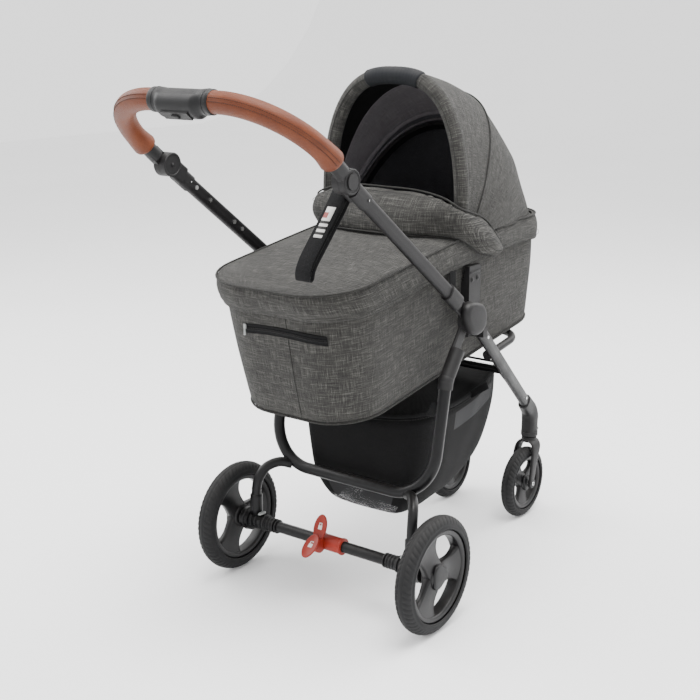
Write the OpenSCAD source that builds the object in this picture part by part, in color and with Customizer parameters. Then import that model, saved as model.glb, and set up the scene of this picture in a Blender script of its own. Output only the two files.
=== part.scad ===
// Folding baby stroller with a lift-off carrycot.
// X points to the pusher's right, Y points forwards and Z points up, in millimetres.
// Lengths along Y are measured from the rear axle; place() moves the middle to Y = 0.

/* [Wheels] */
// Radius of a rear wheel, over its tyre
rear_wheel_r = 127; // [115:1:140]
// Width of a rear tyre
rear_tyre_w = 40; // [34:1:44]
// Distance between the outer faces of the rear tyres
track_w = 580; // [572:1:620]
// Radius of a front wheel, over its tyre
front_wheel_r = 91; // [80:1:100]
// Width of a front tyre
front_tyre_w = 34; // [28:1:36]
// Distance from the stroller's middle to a front wheel's middle
front_wheel_x = 110; // [100:1:125]
// Distance from the rear axle forwards to the caster pivots
caster_y = 694; // [660:1:740]
// How far a front axle trails behind its pivot
caster_trail = 28; // [20:1:34]
// Radius of the rear axle pins
axle_r = 6; // [5:0.5:8]

/* [Frame] */
// Distance from the middle to the middle of a push tube
frame_x = 221; // [215:1:240]
// Distance of the folding hinge in front of the rear axle
hinge_y = 208; // [190:1:230]
// Height of the folding hinge
hinge_z = 627; // [590:1:700]
// Length of a push tube from folding hinge to handle hinge
push_len = 558; // [500:1:640]
// Slope of the push tubes
push_angle = 37.1; // [34:0.1:40]
// Thickness of a push tube
tube_w = 20; // [16:1:22]
// Depth of a push tube
tube_h = 30; // [24:1:34]
// Radius of the rear loop's tube
loop_r = 13; // [10:0.5:14]
// Distance from the middle to the middle of the rear loop's side
loop_x = 215; // [205:1:225]
// Corner radius of the rear loop
loop_corner = 100; // [80:1:120]
// Height of the rear loop's bottom bar
loop_z = 255; // [235:1:290]
// Distance of the rear loop's bottom bar in front of the rear axle
loop_y = 68; // [50:1:80]
// Clearance between parts that slide or turn past each other
gap = 0.5; // [0.4:0.1:0.8]
// Radial clearance of a pin in its bore
pin_fit = 0.05; // [0.02:0.01:0.1]

/* [Handle] */
// Reach of the handle from its hinges
handle_len = 224; // [190:1:250]
// Slope of the handle when it is in line for use
handle_angle = 39; // [36:0.5:44]
// Radius of the handle tube
handle_r = 11; // [9:0.5:12]
// Radius of the handle over its grips
grip_r = 17; // [15:0.5:19]
// Corner radius of the handle
handle_corner = 150; // [120:1:160]
// Width of the middle housing
housing_w = 140; // [120:1:160]

/* [Carrycot] */
// Half width of the carrycot at its floor
tub_floor_x = 160; // [145:1:164]
// Half width of the carrycot at its rim
tub_rim_x = 184; // [176:1:186]
// Length of the carrycot at its floor
tub_floor_l = 761; // [700:1:780]
// How far the foot end leans out from floor to rim
foot_rake = 78; // [50:1:90]
// Height of the carrycot's wall at its middle
tub_h = 266; // [230:1:280]
// Thickness of the carrycot's wall
wall = 8; // [5:0.5:10]
// Depth of the apron's skirt
skirt_h = 58; // [45:1:65]
// Thickness of the mattress
mattress_h = 45; // [30:1:55]

/* [Hood] */
// Radius of the hood's outermost panel about its pivot
hood_r = 388; // [370:1:395]
// Half width of the hood's outermost panel
hood_x = 190; // [186:1:194]
// Thickness of a hood panel
cloth = 3; // [2:0.5:3]
// Distance of the hood's pivot in front of the rear axle
hood_y = 227; // [215:1:240]
// Height of the hood's pivot
hood_z = 752; // [745:1:760]

/* [Hidden] */
$fn = 64;

graphite = [0.29, 0.28, 0.29];
black = [0.08, 0.08, 0.09];
melange = [0.40, 0.39, 0.37];
tan = [0.72, 0.41, 0.25];
steel = [0.7, 0.7, 0.7];
brake_red = [0.76, 0.29, 0.21];

rear_x = track_w / 2 - rear_tyre_w / 2;
front_axle_y = caster_y - caster_trail;
handle_hub_y = hinge_y - push_len * cos(push_angle);
handle_hub_z = hinge_z + push_len * sin(push_angle);
trigger_case_h = 10;
trigger_case_w = 32;
handle_back_y = handle_hub_y - (handle_len + trigger_case_w / 2) * cos(handle_angle)
  - (grip_r + trigger_case_h) * sin(handle_angle);
front_y = front_axle_y + front_wheel_r;
mid_y = (handle_back_y + front_y) / 2;

fork_crown_z = 2 * front_wheel_r + 10;
fork_crown_h = 16;
housing_z = fork_crown_z + fork_crown_h + gap;
elbow_z = housing_z + 68;
swivel_r = 7;
housing_cap = 8;
caster_housing_r = 17;

leg_w = 20;
leg_h = 31;
layer_t = 8;
inner_face = frame_x - 16;
rear_layer_x = inner_face;
push_layer_x = rear_layer_x + layer_t + gap;
cover_x = push_layer_x + layer_t + gap;
cover_t = 20;
hinge_pin_r = 7;
disc_r = 32;
cover_r = 40;
arm_sweep_r = 66;
socket_start = 76;
socket_end = 124;

loop_top_y = 121;
loop_top_z = 510;
loop_tilt = atan2(loop_top_y - loop_y, loop_top_z - loop_z);
loop_side = norm([loop_top_y - loop_y, loop_top_z - loop_z]);
hub_r = 24;
hub_t = 14;
tub_tilt = 8.1;
rim_tilt = 5.6;
tub_y0 = -133;
function rim_z(y) = tub_mid_z + tub_h + (y - tub_mid_y) * tan(rim_tilt);
tub_mid_y = tub_y0 + tub_floor_l / 2;
tub_mid_z = 451 + (tub_floor_l / 2) * tan(tub_tilt);
rim_y0 = tub_y0 - foot_rake;
rim_l = tub_floor_l + foot_rake - 4;

// Moves the model so that the middle of its length is at Y = 0
module place() { translate([0, -mid_y, 0]) children(); }

// Draws its children on one side, 1 for the right and -1 for the left
module on_side(s) { place() if (s > 0) children(); else mirror([1, 0, 0]) children(); }

// Draws its children on both sides
module both() { for (s = [1, -1]) on_side(s) children(); }

// A section with round ends, w wide and h high
module slot_2d(w, h) {
  square([w, h - w], center = true);
  for (s = [-1, 1]) translate([0, s * (h - w) / 2]) circle(d = w);
}

// Aims the Z axis of its children from a to b, with their X axis in the upright plane
module aim(a, b) {
  d = b - a;
  translate(a) rotate([0, 0, atan2(d[1], d[0])]) rotate([0, acos(d[2] / norm(d)), 0]) children();
}

// A round bar from a to b
module rod(a, b, r) { aim(a, b) cylinder(r = r, h = norm(b - a)); }

// A bar of w by h from a to b, with its height in the upright plane
module flat_bar(a, b, w, h) {
  aim(a, b) linear_extrude(norm(b - a)) rotate(90) slot_2d(w, h);
}

// A cylinder along X from x0 to x1 at y, z
module x_disc(x0, x1, y, z, r) { translate([x0, y, z]) rotate([0, 90, 0]) cylinder(r = r, h = x1 - x0); }

// A quarter of a ring in the XY plane, round in section
module quarter(bend_r, r) { rotate_extrude(angle = 90) translate([bend_r, 0]) circle(r = r); }

// Points at distance d from the folding hinge, d along the given slope
function from_hinge(d, slope, x) = [x, hinge_y + d * cos(slope), hinge_z + d * sin(slope)];
elbow = [front_wheel_x, caster_y, elbow_z];
leg_top = [frame_x + 1, hinge_y, hinge_z];
function on_leg(t) = leg_top + t * (elbow - leg_top);
leg_start = 0.085;

/* ---- front frame ---- */

module front_leg() {
  difference() {
    union() {
      flat_bar(on_leg(leg_start), on_leg(1), leg_w, leg_h);
      translate(elbow) sphere(r = caster_housing_r - 2);
    }
    translate([front_wheel_x, caster_y, elbow_z - 60]) cylinder(r = caster_housing_r + 6, h = 60 - housing_cap);
    x_disc(0, frame_x + 40, hinge_y, hinge_z, cover_r);
    x_disc(0, cover_x, hinge_y, hinge_z, arm_sweep_r);
  }
}
module front_leg_right() { color(graphite) on_side(1) front_leg(); }
module front_leg_left() { color(graphite) on_side(-1) front_leg(); }

// Domed cover and the pin that the two folding arms turn on
module hinge_covers() {
  color(graphite) both() {
    x_disc(cover_x, cover_x + cover_t - 4, hinge_y, hinge_z, cover_r);
    x_disc(cover_x + cover_t - 4, cover_x + cover_t, hinge_y, hinge_z, cover_r - 6);
    x_disc(inner_face - 4, cover_x, hinge_y, hinge_z, hinge_pin_r);
    x_disc(inner_face - 7, inner_face - gap, hinge_y, hinge_z, hinge_pin_r + 6);
  }
}

// Housing at the foot of each front leg, bored for the caster's stem
module caster_housings() {
  color(graphite) both() difference() {
    translate([front_wheel_x, caster_y, housing_z]) {
      cylinder(r = caster_housing_r, h = elbow_z - housing_cap - housing_z);
      cylinder(r = caster_housing_r + 4, h = 12);
    }
    translate([front_wheel_x, caster_y, housing_z - 1]) cylinder(r = swivel_r + pin_fit, h = 42);
  }
}

cross_t = 0.50;
// Round tube between the front legs
module cross_tube() {
  p = on_leg(cross_t);
  color(black) place() difference() {
    rod([-p[0], p[1], p[2] - 6], [p[0], p[1], p[2] - 6], 9);
    for (s = [0, 1]) mirror([s, 0, 0]) flat_bar(on_leg(leg_start), on_leg(1), leg_w, leg_h);
  }
}

// U-shaped bar under the carrycot's head end, in a plane parallel to its floor
bar_t = 0.30;
bar_r = 9;
bar_corner = 52;
bar_reach = 150;
bar_drop = 16;
module seat_bar() {
  p = on_leg(bar_t);
  x = p[0] - leg_w / 2 - 2;
  bar_y = p[1];
  bar_z = p[2];
  color(graphite) place() difference() {
    translate([0, bar_y, bar_z - bar_drop]) rotate([tub_tilt, 0, 0]) {
      for (s = [0, 1]) mirror([s, 0, 0]) {
        translate([x - bar_corner, bar_reach - bar_corner, 0]) quarter(bar_corner, bar_r);
        rod([x, -4, 0], [x, bar_reach - bar_corner, 0], bar_r);
        translate([x, 0, 0]) rotate([-90, 0, 0]) cylinder(r = bar_r + 3, h = 26);
        rod([x, 12, 0], [x + 14, 12, 0], bar_r);
      }
      rod([bar_corner - x, bar_reach, 0], [x - bar_corner, bar_reach, 0], bar_r);
    }
    for (s = [0, 1]) mirror([s, 0, 0]) flat_bar(on_leg(leg_start), on_leg(1), leg_w, leg_h);
  }
}

// Shopping basket: a sagging tub of cloth between the legs
basket_top_x = 184;
basket_top = [105, 560];
basket_floor = [120, 470];
module basket_block(inset) {
  hull() {
    translate([0, 0, 432]) linear_extrude(1) basket_outline(basket_top, basket_top_x, 88, inset);
    translate([0, 0, 235 + inset]) linear_extrude(1) basket_outline(basket_floor, 160, 92, inset);
  }
}
module basket_outline(ys, half_rear, half_front, inset) {
  hull() {
    for (s = [-1, 1]) {
      translate([s * (half_rear - 30), ys[0] + 30]) circle(r = 30 - inset, $fn = 32);
      translate([s * (half_front - 30), ys[1] - 30]) circle(r = 30 - inset, $fn = 32);
    }
  }
}
module basket() {
  color(black) place() difference() {
    basket_block(0);
    translate([0, 0, 1.5]) basket_block(cloth);
    translate([-200, 0, 400]) rotate([10, 0, 0]) cube([400, 700, 200]);
  }
}

// Posts that carry the carrycot's brackets, beside the hinges
mount_w = 12;
mount_l = 46;
mount_y = hinge_y + 48;
mount_top = hinge_z + 12;
mount_h = 62;
mount_x = inner_face - 7 - gap - mount_w;
tongue = [6, 28, 34];
module carrier_mounts() {
  color(black) both() difference() {
    union() {
      translate([mount_x, mount_y - mount_l / 2, mount_top - mount_h]) cube([mount_w, mount_l, mount_h]);
      translate([mount_x + mount_w, mount_y - 8, mount_top - mount_h])
        cube([frame_x + 6 - mount_x - mount_w, 16, 20]);
    }
    translate([mount_x + mount_w / 2, mount_y, mount_top - tongue[2] / 2])
      cube([tongue[0] + 2 * gap, tongue[1] + 2 * gap, tongue[2] + 2 * gap], center = true);
    x_disc(inner_face - 10, frame_x + 60, hinge_y, hinge_z, cover_r + gap);
  }
}

// Screw heads on the outside of the front legs
module leg_screws() {
  color(steel) both() for (t = [0.13, 0.17, 0.84]) {
    p = on_leg(t);
    x_disc(p[0] + leg_w / 2 + 0.2, p[0] + leg_w / 2 + 2.5, p[1], p[2], 3.5);
  }
}

/* ---- push frame ---- */

module push_tube() {
  slope = 180 - push_angle;
  flat_bar(from_hinge(socket_end, slope, frame_x), from_hinge(push_len - hub_r - 6, slope, frame_x),
    tube_w, tube_h);
}
module push_tube_right() { color(graphite) on_side(1) push_tube(); }
module push_tube_left() { color(graphite) on_side(-1) push_tube(); }

// Sleeve over each push tube's foot, with the eye that turns on the hinge pin
module tube_sockets() {
  slope = 180 - push_angle;
  color(graphite) both() difference() {
    union() {
      x_disc(push_layer_x, push_layer_x + layer_t, hinge_y, hinge_z, disc_r);
      flat_bar(from_hinge(0, slope, push_layer_x + layer_t / 2),
        from_hinge(socket_start + 6, slope, push_layer_x + layer_t / 2), layer_t, tube_h + 2);
      flat_bar(from_hinge(socket_start, slope, frame_x), from_hinge(socket_end, slope, frame_x),
        tube_w + 7, tube_h + 7);
    }
    x_disc(push_layer_x - 1, push_layer_x + layer_t + 1, hinge_y, hinge_z, hinge_pin_r + pin_fit);
  }
}

// Inner halves of the handle's tilting hinges
hub_x = frame_x - hub_t - gap / 2;
module handle_hubs() {
  slope = 180 - push_angle;
  color(graphite) both() {
    x_disc(hub_x, hub_x + hub_t, handle_hub_y, handle_hub_z, hub_r);
    flat_bar(from_hinge(push_len - hub_r - 20, slope, hub_x + hub_t / 2),
      from_hinge(push_len, slope, hub_x + hub_t / 2), hub_t - 1, 2 * hub_r - 10);
    flat_bar(from_hinge(push_len - hub_r - 50, slope, frame_x),
      from_hinge(push_len - hub_r - 4, slope, frame_x), tube_w + 5, tube_h + 5);
  }
}

// Rivet heads on the inside of the push tubes
module push_rivets() {
  slope = 180 - push_angle;
  color(steel) both() for (d = [100, 300, 330, 420, 470]) {
    p = from_hinge(d, slope, frame_x);
    proud = d < socket_end ? (tube_w + 7) / 2 : tube_w / 2;
    x_disc(p[0] - proud - 1.8, p[0] - proud, p[1], p[2], 4.5);
  }
}

/* ---- rear frame ---- */

// Stands its children up in the rear loop's plane
module in_loop() { translate([0, loop_y, loop_z]) rotate([-loop_tilt, 0, 0]) children(); }

module rear_loop() {
  color(black) place() in_loop() rotate([90, 0, 0]) {
    for (s = [0, 1]) mirror([s, 0, 0]) {
      translate([loop_x - loop_corner, loop_corner, 0]) rotate(-90) quarter(loop_corner, loop_r);
      rod([loop_x, loop_corner, 0], [loop_x, loop_side - 20, 0], loop_r);
    }
    rod([loop_corner - loop_x, 0, 0], [loop_x - loop_corner, 0, 0], loop_r);
  }
}

// Sleeves over the rear loop's tops, with eyes that turn on the hinge pins
module rear_sockets() {
  top = [loop_x, loop_top_y, loop_top_z];
  arm = norm([hinge_y - loop_top_y, hinge_z - loop_top_z]);
  slope = atan2(loop_top_z - hinge_z, loop_top_y - hinge_y);
  color(graphite) both() difference() {
    union() {
      x_disc(rear_layer_x, rear_layer_x + layer_t, hinge_y, hinge_z, disc_r);
      flat_bar(from_hinge(0, slope, rear_layer_x + layer_t / 2),
        from_hinge(arm, slope, rear_layer_x + layer_t / 2), layer_t, tube_h);
      rod(from_hinge(socket_start, slope, loop_x), top, loop_r + 3);
      translate(top) sphere(r = loop_r + 3.7);
      in_loop() translate([loop_x, 0, loop_side - 20]) cylinder(r = loop_r + 3, h = 20);
    }
    x_disc(rear_layer_x - 1, rear_layer_x + layer_t + 1, hinge_y, hinge_z, hinge_pin_r + pin_fit);
  }
}

leg_drop_x = 214;
housing_r = 17;
// Bent legs from the rear loop down to the axle
module wheel_legs() {
  a = [loop_x - loop_corner + 45, loop_y - 10, loop_z + 8];
  b = [leg_drop_x - 14, 12, rear_wheel_r + 92];
  d = [leg_drop_x, 0, rear_wheel_r + 50];
  e = [leg_drop_x, 0, rear_wheel_r + housing_r - 2];
  color(black) both() {
    rod(a, b, 11);
    translate(b) sphere(r = 11.5);
    rod(b, d, 11);
    translate(d) sphere(r = 11.5);
    rod(d, e, 11);
  }
}

axle_end = 190;
release_x = axle_end + 6.5;
pin_offset = 10;
bar_sleeve_r = 12.5;
// Housings at the axle's ends, bored for the wheels' pins and the brake pins
module axle_housings() {
  color(black) both() difference() {
    union() {
      x_disc(axle_end, leg_drop_x + 15, 0, rear_wheel_r, housing_r);
      x_disc(leg_drop_x + 10, rear_x - rear_tyre_w / 2 - 4, 0, rear_wheel_r, housing_r + 8);
    }
    x_disc(axle_end - 1, 300, 0, rear_wheel_r, axle_r);
    x_disc(leg_drop_x - 4, 300, 0, rear_wheel_r - pin_offset - 6, 3 + pin_fit);
    translate([release_x, 0, rear_wheel_r + 12]) cylinder(r = 5, h = 10);
  }
}

module axle_bar() {
  color(black) place() {
    x_disc(-axle_end, axle_end, 0, rear_wheel_r, bar_sleeve_r);
    for (s = [0, 1]) mirror([s, 0, 0]) x_disc(axle_end - 30, axle_end, 0, rear_wheel_r, bar_sleeve_r + 2.5);
  }
}

module wheel_axles() {
  color(steel) both() x_disc(axle_end, rear_x + 14, 0, rear_wheel_r, axle_r);
}

/* ---- handle ---- */

hub_out_x = frame_x + gap / 2;
// Turns its children into the handle's plane, with Y along its reach
module in_handle() {
  translate([0, handle_hub_y, handle_hub_z]) rotate([180 - handle_angle, 0, 0])
    mirror([0, 0, 1]) children();
}

// Half of the handle's bent tube, in its own plane
module handle_path(r, side_from, mid_from) {
  translate([frame_x + 8 - handle_corner, handle_len - handle_corner, 0]) quarter(handle_corner, r);
  rod([frame_x + 8, side_from, 0], [frame_x + 8, handle_len - handle_corner, 0], r);
  rod([mid_from, handle_len, 0], [frame_x + 8 - handle_corner, handle_len, 0], r);
}
module handle_tube() {
  color(graphite) place() in_handle() for (s = [0, 1]) mirror([s, 0, 0])
    handle_path(handle_r, 40, 0);
}
module grip() {
  in_handle() difference() {
    handle_path(grip_r, 62, housing_w / 2);
    handle_path(handle_r, 40, 0);
  }
}
module grip_right() { color(tan) on_side(1) grip(); }
module grip_left() { color(tan) on_side(-1) grip(); }

trigger = [64, 20, 10];
// Black case round the middle of the handle, open below for the trigger
module handle_housing() {
  color(black) place() in_handle() difference() {
    union() {
      x_disc(-housing_w / 2, housing_w / 2, handle_len, 0, grip_r + 3);
      translate([-housing_w / 2 + 22, handle_len - trigger_case_w / 2, -grip_r - trigger_case_h])
        cube([housing_w - 44, trigger_case_w, grip_r]);
    }
    x_disc(-housing_w, housing_w, handle_len, 0, handle_r);
    translate([0, handle_len, -grip_r - 6]) cube([trigger[0] + 2 * gap, trigger[1] + 2 * gap, 12], center = true);
  }
}

// Squeezed up into the housing to let the frame fold
module fold_trigger() {
  color(graphite) place() in_handle() translate([0, handle_len, -grip_r - 11])
    cube(trigger, center = true);
}

// Outer halves of the tilting hinges, with the sleeves that hold the handle's ends
module handle_yokes() {
  color(graphite) on_both_handle() difference() {
    union() {
      x_disc(hub_out_x, hub_out_x + hub_t, 0, 0, hub_r);
      translate([hub_out_x, 0, -grip_r + 3]) cube([hub_t, 44, 2 * grip_r - 6]);
      rod([frame_x + 8, 30, 0], [frame_x + 8, 60, 0], handle_r + 4);
    }
    x_disc(hub_out_x + hub_t - 5, hub_out_x + hub_t + 5, 0, 0, 15 + gap);
  }
}
module on_both_handle() {
  place() in_handle() for (s = [0, 1]) mirror([s, 0, 0]) children();
}

// Press-in discs on the outside of the tilting hinges
module handle_button(s) {
  color(graphite) place() in_handle() mirror([s, 0, 0])
    x_disc(hub_out_x + hub_t - 1.5, hub_out_x + hub_t + 3, 0, 0, 15);
}
module handle_button_right() { handle_button(0); }
module handle_button_left() { handle_button(1); }

// Loop of webbing hanging square to the right-hand push tube, from its top sleeve
strap_w = 24;
strap_t = 3;
strap_x = hub_x - 3 - strap_w;
strap_drop = 190;
module wrist_strap() {
  color(black) place() translate(from_hinge(push_len - 42, 180 - push_angle, strap_x)) rotate([-push_angle, 0, 0]) {
    translate([0, -4, -10]) cube([strap_w, 22, 14]);
    difference() {
      rotate([90, 0, 90]) linear_extrude(strap_w) strap_outline(0);
      translate([-1, 0, 0]) rotate([90, 0, 90]) linear_extrude(strap_w + 2) strap_outline(strap_t);
    }
    translate([strap_w, -3, -4]) cube([frame_x - tube_w / 2 - strap_x - strap_w, 14, 8]);
  }
}
module strap_outline(inset) {
  polygon([[inset, -8], [-8 + inset, -strap_drop + 20], [8, -strap_drop + inset * 2.2],
    [26 - inset, -strap_drop + 22], [14 - inset, -8]]);
}

/* ---- brake ---- */

// Rocking sleeve with two oval foot pads
module brake_pedal() {
  color(brake_red) place() difference() {
    union() {
      x_disc(-30, 34, 0, rear_wheel_r, bar_sleeve_r + 5);
      x_disc(-30, -8, -26, rear_wheel_r + 2, 17);
      translate([-30, -26, rear_wheel_r - 12]) cube([22, 26, 26]);
      for (s = [-1, 1]) translate([-19, -26 + s * 18, rear_wheel_r + 18]) rotate([s * 26, 0, 0])
        linear_extrude(5) union() {
          square([34, 26], center = true);
          for (k = [-1, 1]) translate([0, k * 13]) circle(r = 17);
        }
    }
    x_disc(-40, 40, 0, rear_wheel_r, bar_sleeve_r + pin_fit);
  }
}
module pedal_screw() {
  color(steel) place() x_disc(-34, -30, -26, rear_wheel_r + 2, 5);
}

module brake_pin(s) {
  color(steel) on_side(s)
    x_disc(leg_drop_x, rear_x - rear_tyre_w / 2 - 5, 0, rear_wheel_r - pin_offset - 6, 3);
}
module brake_pin_right() { brake_pin(1); }
module brake_pin_left() { brake_pin(-1); }

module wheel_release(s) {
  color(steel) on_side(s) translate([release_x, 0, rear_wheel_r + housing_r - 1]) {
    cylinder(r = 5 - gap, h = 4);
    translate([0, 0, 4]) cylinder(r = 6, h = 3);
  }
}
module wheel_release_right() { wheel_release(1); }
module wheel_release_left() { wheel_release(-1); }

/* ---- wheels ---- */

// A tyre about the Z axis, from the rim's seat to the tread
module tyre(r, w, seat_r) {
  crown = w / 2;
  rotate_extrude() {
    translate([r - crown, 0]) intersection() {
      circle(r = crown);
      translate([0, -w / 2]) square([crown, w]);
    }
    translate([seat_r, -w / 2 + 2]) square([r - crown - seat_r, w - 4]);
  }
}

// A spoked rim about the Z axis
module rim(seat_r, w, hub, bore, spokes) {
  difference() {
    union() {
      rotate_extrude() translate([seat_r - 13, -w / 2]) square([13, w]);
      cylinder(r = hub, h = w + 2, center = true);
      for (k = [0 : spokes - 1]) rotate(k * 360 / spokes + 90)
        translate([hub - 4, -11, -w / 2 + 5]) cube([seat_r - hub - 7, 22, w - 10]);
    }
    cylinder(r = bore, h = w + 10, center = true);
  }
}

rear_seat_r = rear_wheel_r - 27;
front_seat_r = front_wheel_r - 21;
module at_rear(s) { on_side(s) translate([rear_x, 0, rear_wheel_r]) rotate([0, 90, 0]) children(); }
module rear_tyre(s) { color(black) at_rear(s) tyre(rear_wheel_r, rear_tyre_w, rear_seat_r); }
module rear_tyre_right() { rear_tyre(1); }
module rear_tyre_left() { rear_tyre(-1); }
module rear_rim(s) { color(graphite) at_rear(s) rim(rear_seat_r, rear_tyre_w - 8, 27, axle_r + pin_fit, 3); }
module rear_rim_right() { rear_rim(1); }
module rear_rim_left() { rear_rim(-1); }

front_pin_r = 4;
fork_leg_t = 8;
fork_in = front_tyre_w / 2 + 5;
// Fork with its stem and axle pin, about the caster's pivot
module caster_fork(s) {
  color(graphite) on_side(s) translate([front_wheel_x, 0, 0]) {
    translate([0, caster_y, fork_crown_z]) cylinder(r = swivel_r, h = fork_crown_h + 36);
    translate([0, caster_y, fork_crown_z]) cylinder(r = 19, h = fork_crown_h);
    for (k = [-1, 1]) {
      x0 = k > 0 ? fork_in : -fork_in - fork_leg_t;
      translate([x0, 0, 0]) {
        x_disc(0, fork_leg_t, front_axle_y, front_wheel_r, 13);
        hull() {
          x_disc(0, fork_leg_t, front_axle_y, front_wheel_r, 10);
          translate([0, caster_y - 16, fork_crown_z]) cube([fork_leg_t, 30, fork_crown_h - 4]);
        }
      }
    }
    translate([-fork_in - fork_leg_t, caster_y - 16, fork_crown_z])
      cube([2 * (fork_in + fork_leg_t), 30, fork_crown_h - 4]);
    x_disc(-fork_in - fork_leg_t - 3, fork_in + fork_leg_t + 3, front_axle_y, front_wheel_r, front_pin_r);
  }
}
module caster_fork_right() { caster_fork(1); }
module caster_fork_left() { caster_fork(-1); }

module at_front(s) {
  on_side(s) translate([front_wheel_x, front_axle_y, front_wheel_r]) rotate([0, 90, 0]) children();
}
module front_tyre(s) { color(black) at_front(s) tyre(front_wheel_r, front_tyre_w, front_seat_r); }
module front_tyre_right() { front_tyre(1); }
module front_tyre_left() { front_tyre(-1); }
module front_rim(s) { color(graphite) at_front(s) rim(front_seat_r, front_tyre_w - 6, 20, front_pin_r + pin_fit, 3); }
module front_rim_right() { front_rim(1); }
module front_rim_left() { front_rim(-1); }

lock_travel = 5;
module caster_lock(s) {
  color(black) on_side(s) translate([front_wheel_x, caster_y + caster_housing_r + 4 + gap, housing_z + 1]) {
    translate([-9, 0, lock_travel]) cube([18, 7, 12]);
    translate([-6, 7, lock_travel + 2]) cube([12, 9, 4]);
  }
}
module caster_lock_right() { caster_lock(1); }
module caster_lock_left() { caster_lock(-1); }

/* ---- carrycot ---- */

// The carrycot's outline at t of its height, 0 at the floor and 1 at the rim, grown by grow
module tub_plate(t, grow) {
  half = tub_floor_x + t * (tub_rim_x - tub_floor_x) + grow;
  y0 = tub_y0 + t * (rim_y0 - tub_y0) - grow;
  len = tub_floor_l + t * (rim_l - tub_floor_l) + 2 * grow;
  r = 105 + 10 * t + grow;
  tilt = tub_tilt + t * (rim_tilt - tub_tilt);
  translate([0, tub_mid_y, tub_mid_z + t * tub_h]) rotate([tilt, 0, 0]) linear_extrude(0.2) hull()
    for (x = [-1, 1]) for (k = [0, 1])
      translate([x * (half - r), y0 - tub_mid_y + r + k * (len - 2 * r)]) circle(r = r, $fn = 48);
}
module tub_block(t0, t1, grow) { hull() { tub_plate(t0, grow); tub_plate(t1, grow); } }

floor_t = 0.04;
// Cloth-covered shell of the carrycot
module tub() {
  color(melange) place() difference() {
    tub_block(0, 1, 0);
    tub_block(floor_t, 1.02, -wall);
  }
}

// Mattress on the carrycot's floor
module mattress() {
  color("white") place() tub_block(floor_t + 0.004, floor_t + mattress_h / tub_h, -wall - 2);
}

skirt_t = 1 - skirt_h / tub_h;
apron_end = 168;
// Cover over the carrycot's foot end, with a skirt round the rim
module apron() {
  color(melange) place() {
    difference() {
      tub_block(skirt_t, 1, 5);
      tub_block(skirt_t - 0.02, 1.02, 1);
    }
    intersection() {
      difference() {
        tub_block(1, 1 + apron_t / tub_h, 5);
        tub_block(0.99, 1.0008, 6);
      }
      translate([-300, -400, 0]) cube([600, 400 + apron_end, 2000]);
    }
  }
}

flap_h = 74;
flap_half = 164;
apron_t = 8;
// Padded flap that stands up at the apron's end
module wind_flap() {
  z = rim_z(apron_end) + apron_t;
  color(melange) place() translate([-flap_half, 0, 0]) rotate([90, 0, 90]) linear_extrude(2 * flap_half)
    polygon([[apron_end - 56, z - 4], [apron_end + 22, z + flap_h], [apron_end + 38, z + flap_h - 3],
      [apron_end + 8, z + 4], [apron_end - 3, z - 1]]);
}

// Plates on the carrycot's sides whose tongues drop into the frame's posts
module tub_brackets() {
  top = hinge_z + 104;
  color(graphite) both() {
    difference() {
      translate([mount_x - 18, mount_y - mount_l / 2, mount_top + gap]) cube([mount_w + 18, mount_l, top - mount_top]);
      tub_block(0, 1, 0);
      tub_block(skirt_t - 0.03, 1, 6);
    }
    translate([mount_x + mount_w / 2 - tongue[0] / 2, mount_y - tongue[1] / 2, mount_top - tongue[2] / 2 + 2])
      cube([tongue[0], tongue[1], tongue[2] / 2]);
  }
}

/* ---- hood ---- */

// Outline of the hood across its width, as distance from the pivot against half width
hood_straight = 95;
function hood_point(a, x, r) = [hood_straight + (r - hood_straight) * pow(sin(a), 0.8), x * pow(cos(a), 0.75)];
module hood_outline(x, r, root) {
  polygon(concat([[root, -x]], [for (a = [0 : 6 : 84]) hood_at(-1, a, x, r)], [hood_at(1, 90, x, r)],
    [for (a = [84 : -6 : 0]) hood_at(1, a, x, r)], [[root, x]]));
}
function hood_at(s, a, x, r) = [hood_point(a, x, r)[0], s * hood_point(a, x, r)[1]];

// Places its children's Z axis on the hood's pivot, with X forwards and turned up by a
module at_hood(a) {
  place() translate([0, hood_y, hood_z]) rotate([a, 0, 0]) rotate([90, 0, 90]) children();
}

// A cloth panel from slope a0 to a1, cut clear of the rim when it is folded by fold
panel_root = 30;
rim_clear = 20;
module hood_panel(x, r, a0, a1, fold) {
  difference() {
    at_hood(a0) rotate_extrude(angle = a1 - a0) difference() {
      hood_outline(x, r, panel_root);
      hood_outline(x - cloth, r - cloth, panel_root - 1);
    }
    at_hood(rim_tilt - 0.4 + fold) translate([-500, rim_clear - 500, -300]) cube([1000, 500, 600]);
  }
}
hood_fold = 50;
nest = cloth + 1;
module hood_rear_panel() { color(melange) hood_panel(hood_x, hood_r, 4, 36, 0); }
module hood_mid_panel() { color(melange) hood_panel(hood_x - nest, hood_r - nest, 29, 61, hood_fold / 2); }
module hood_front_panel() {
  color(melange) hood_panel(hood_x - 2 * nest, hood_r - 2 * nest, 54, 86.5, hood_fold);
}

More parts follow.
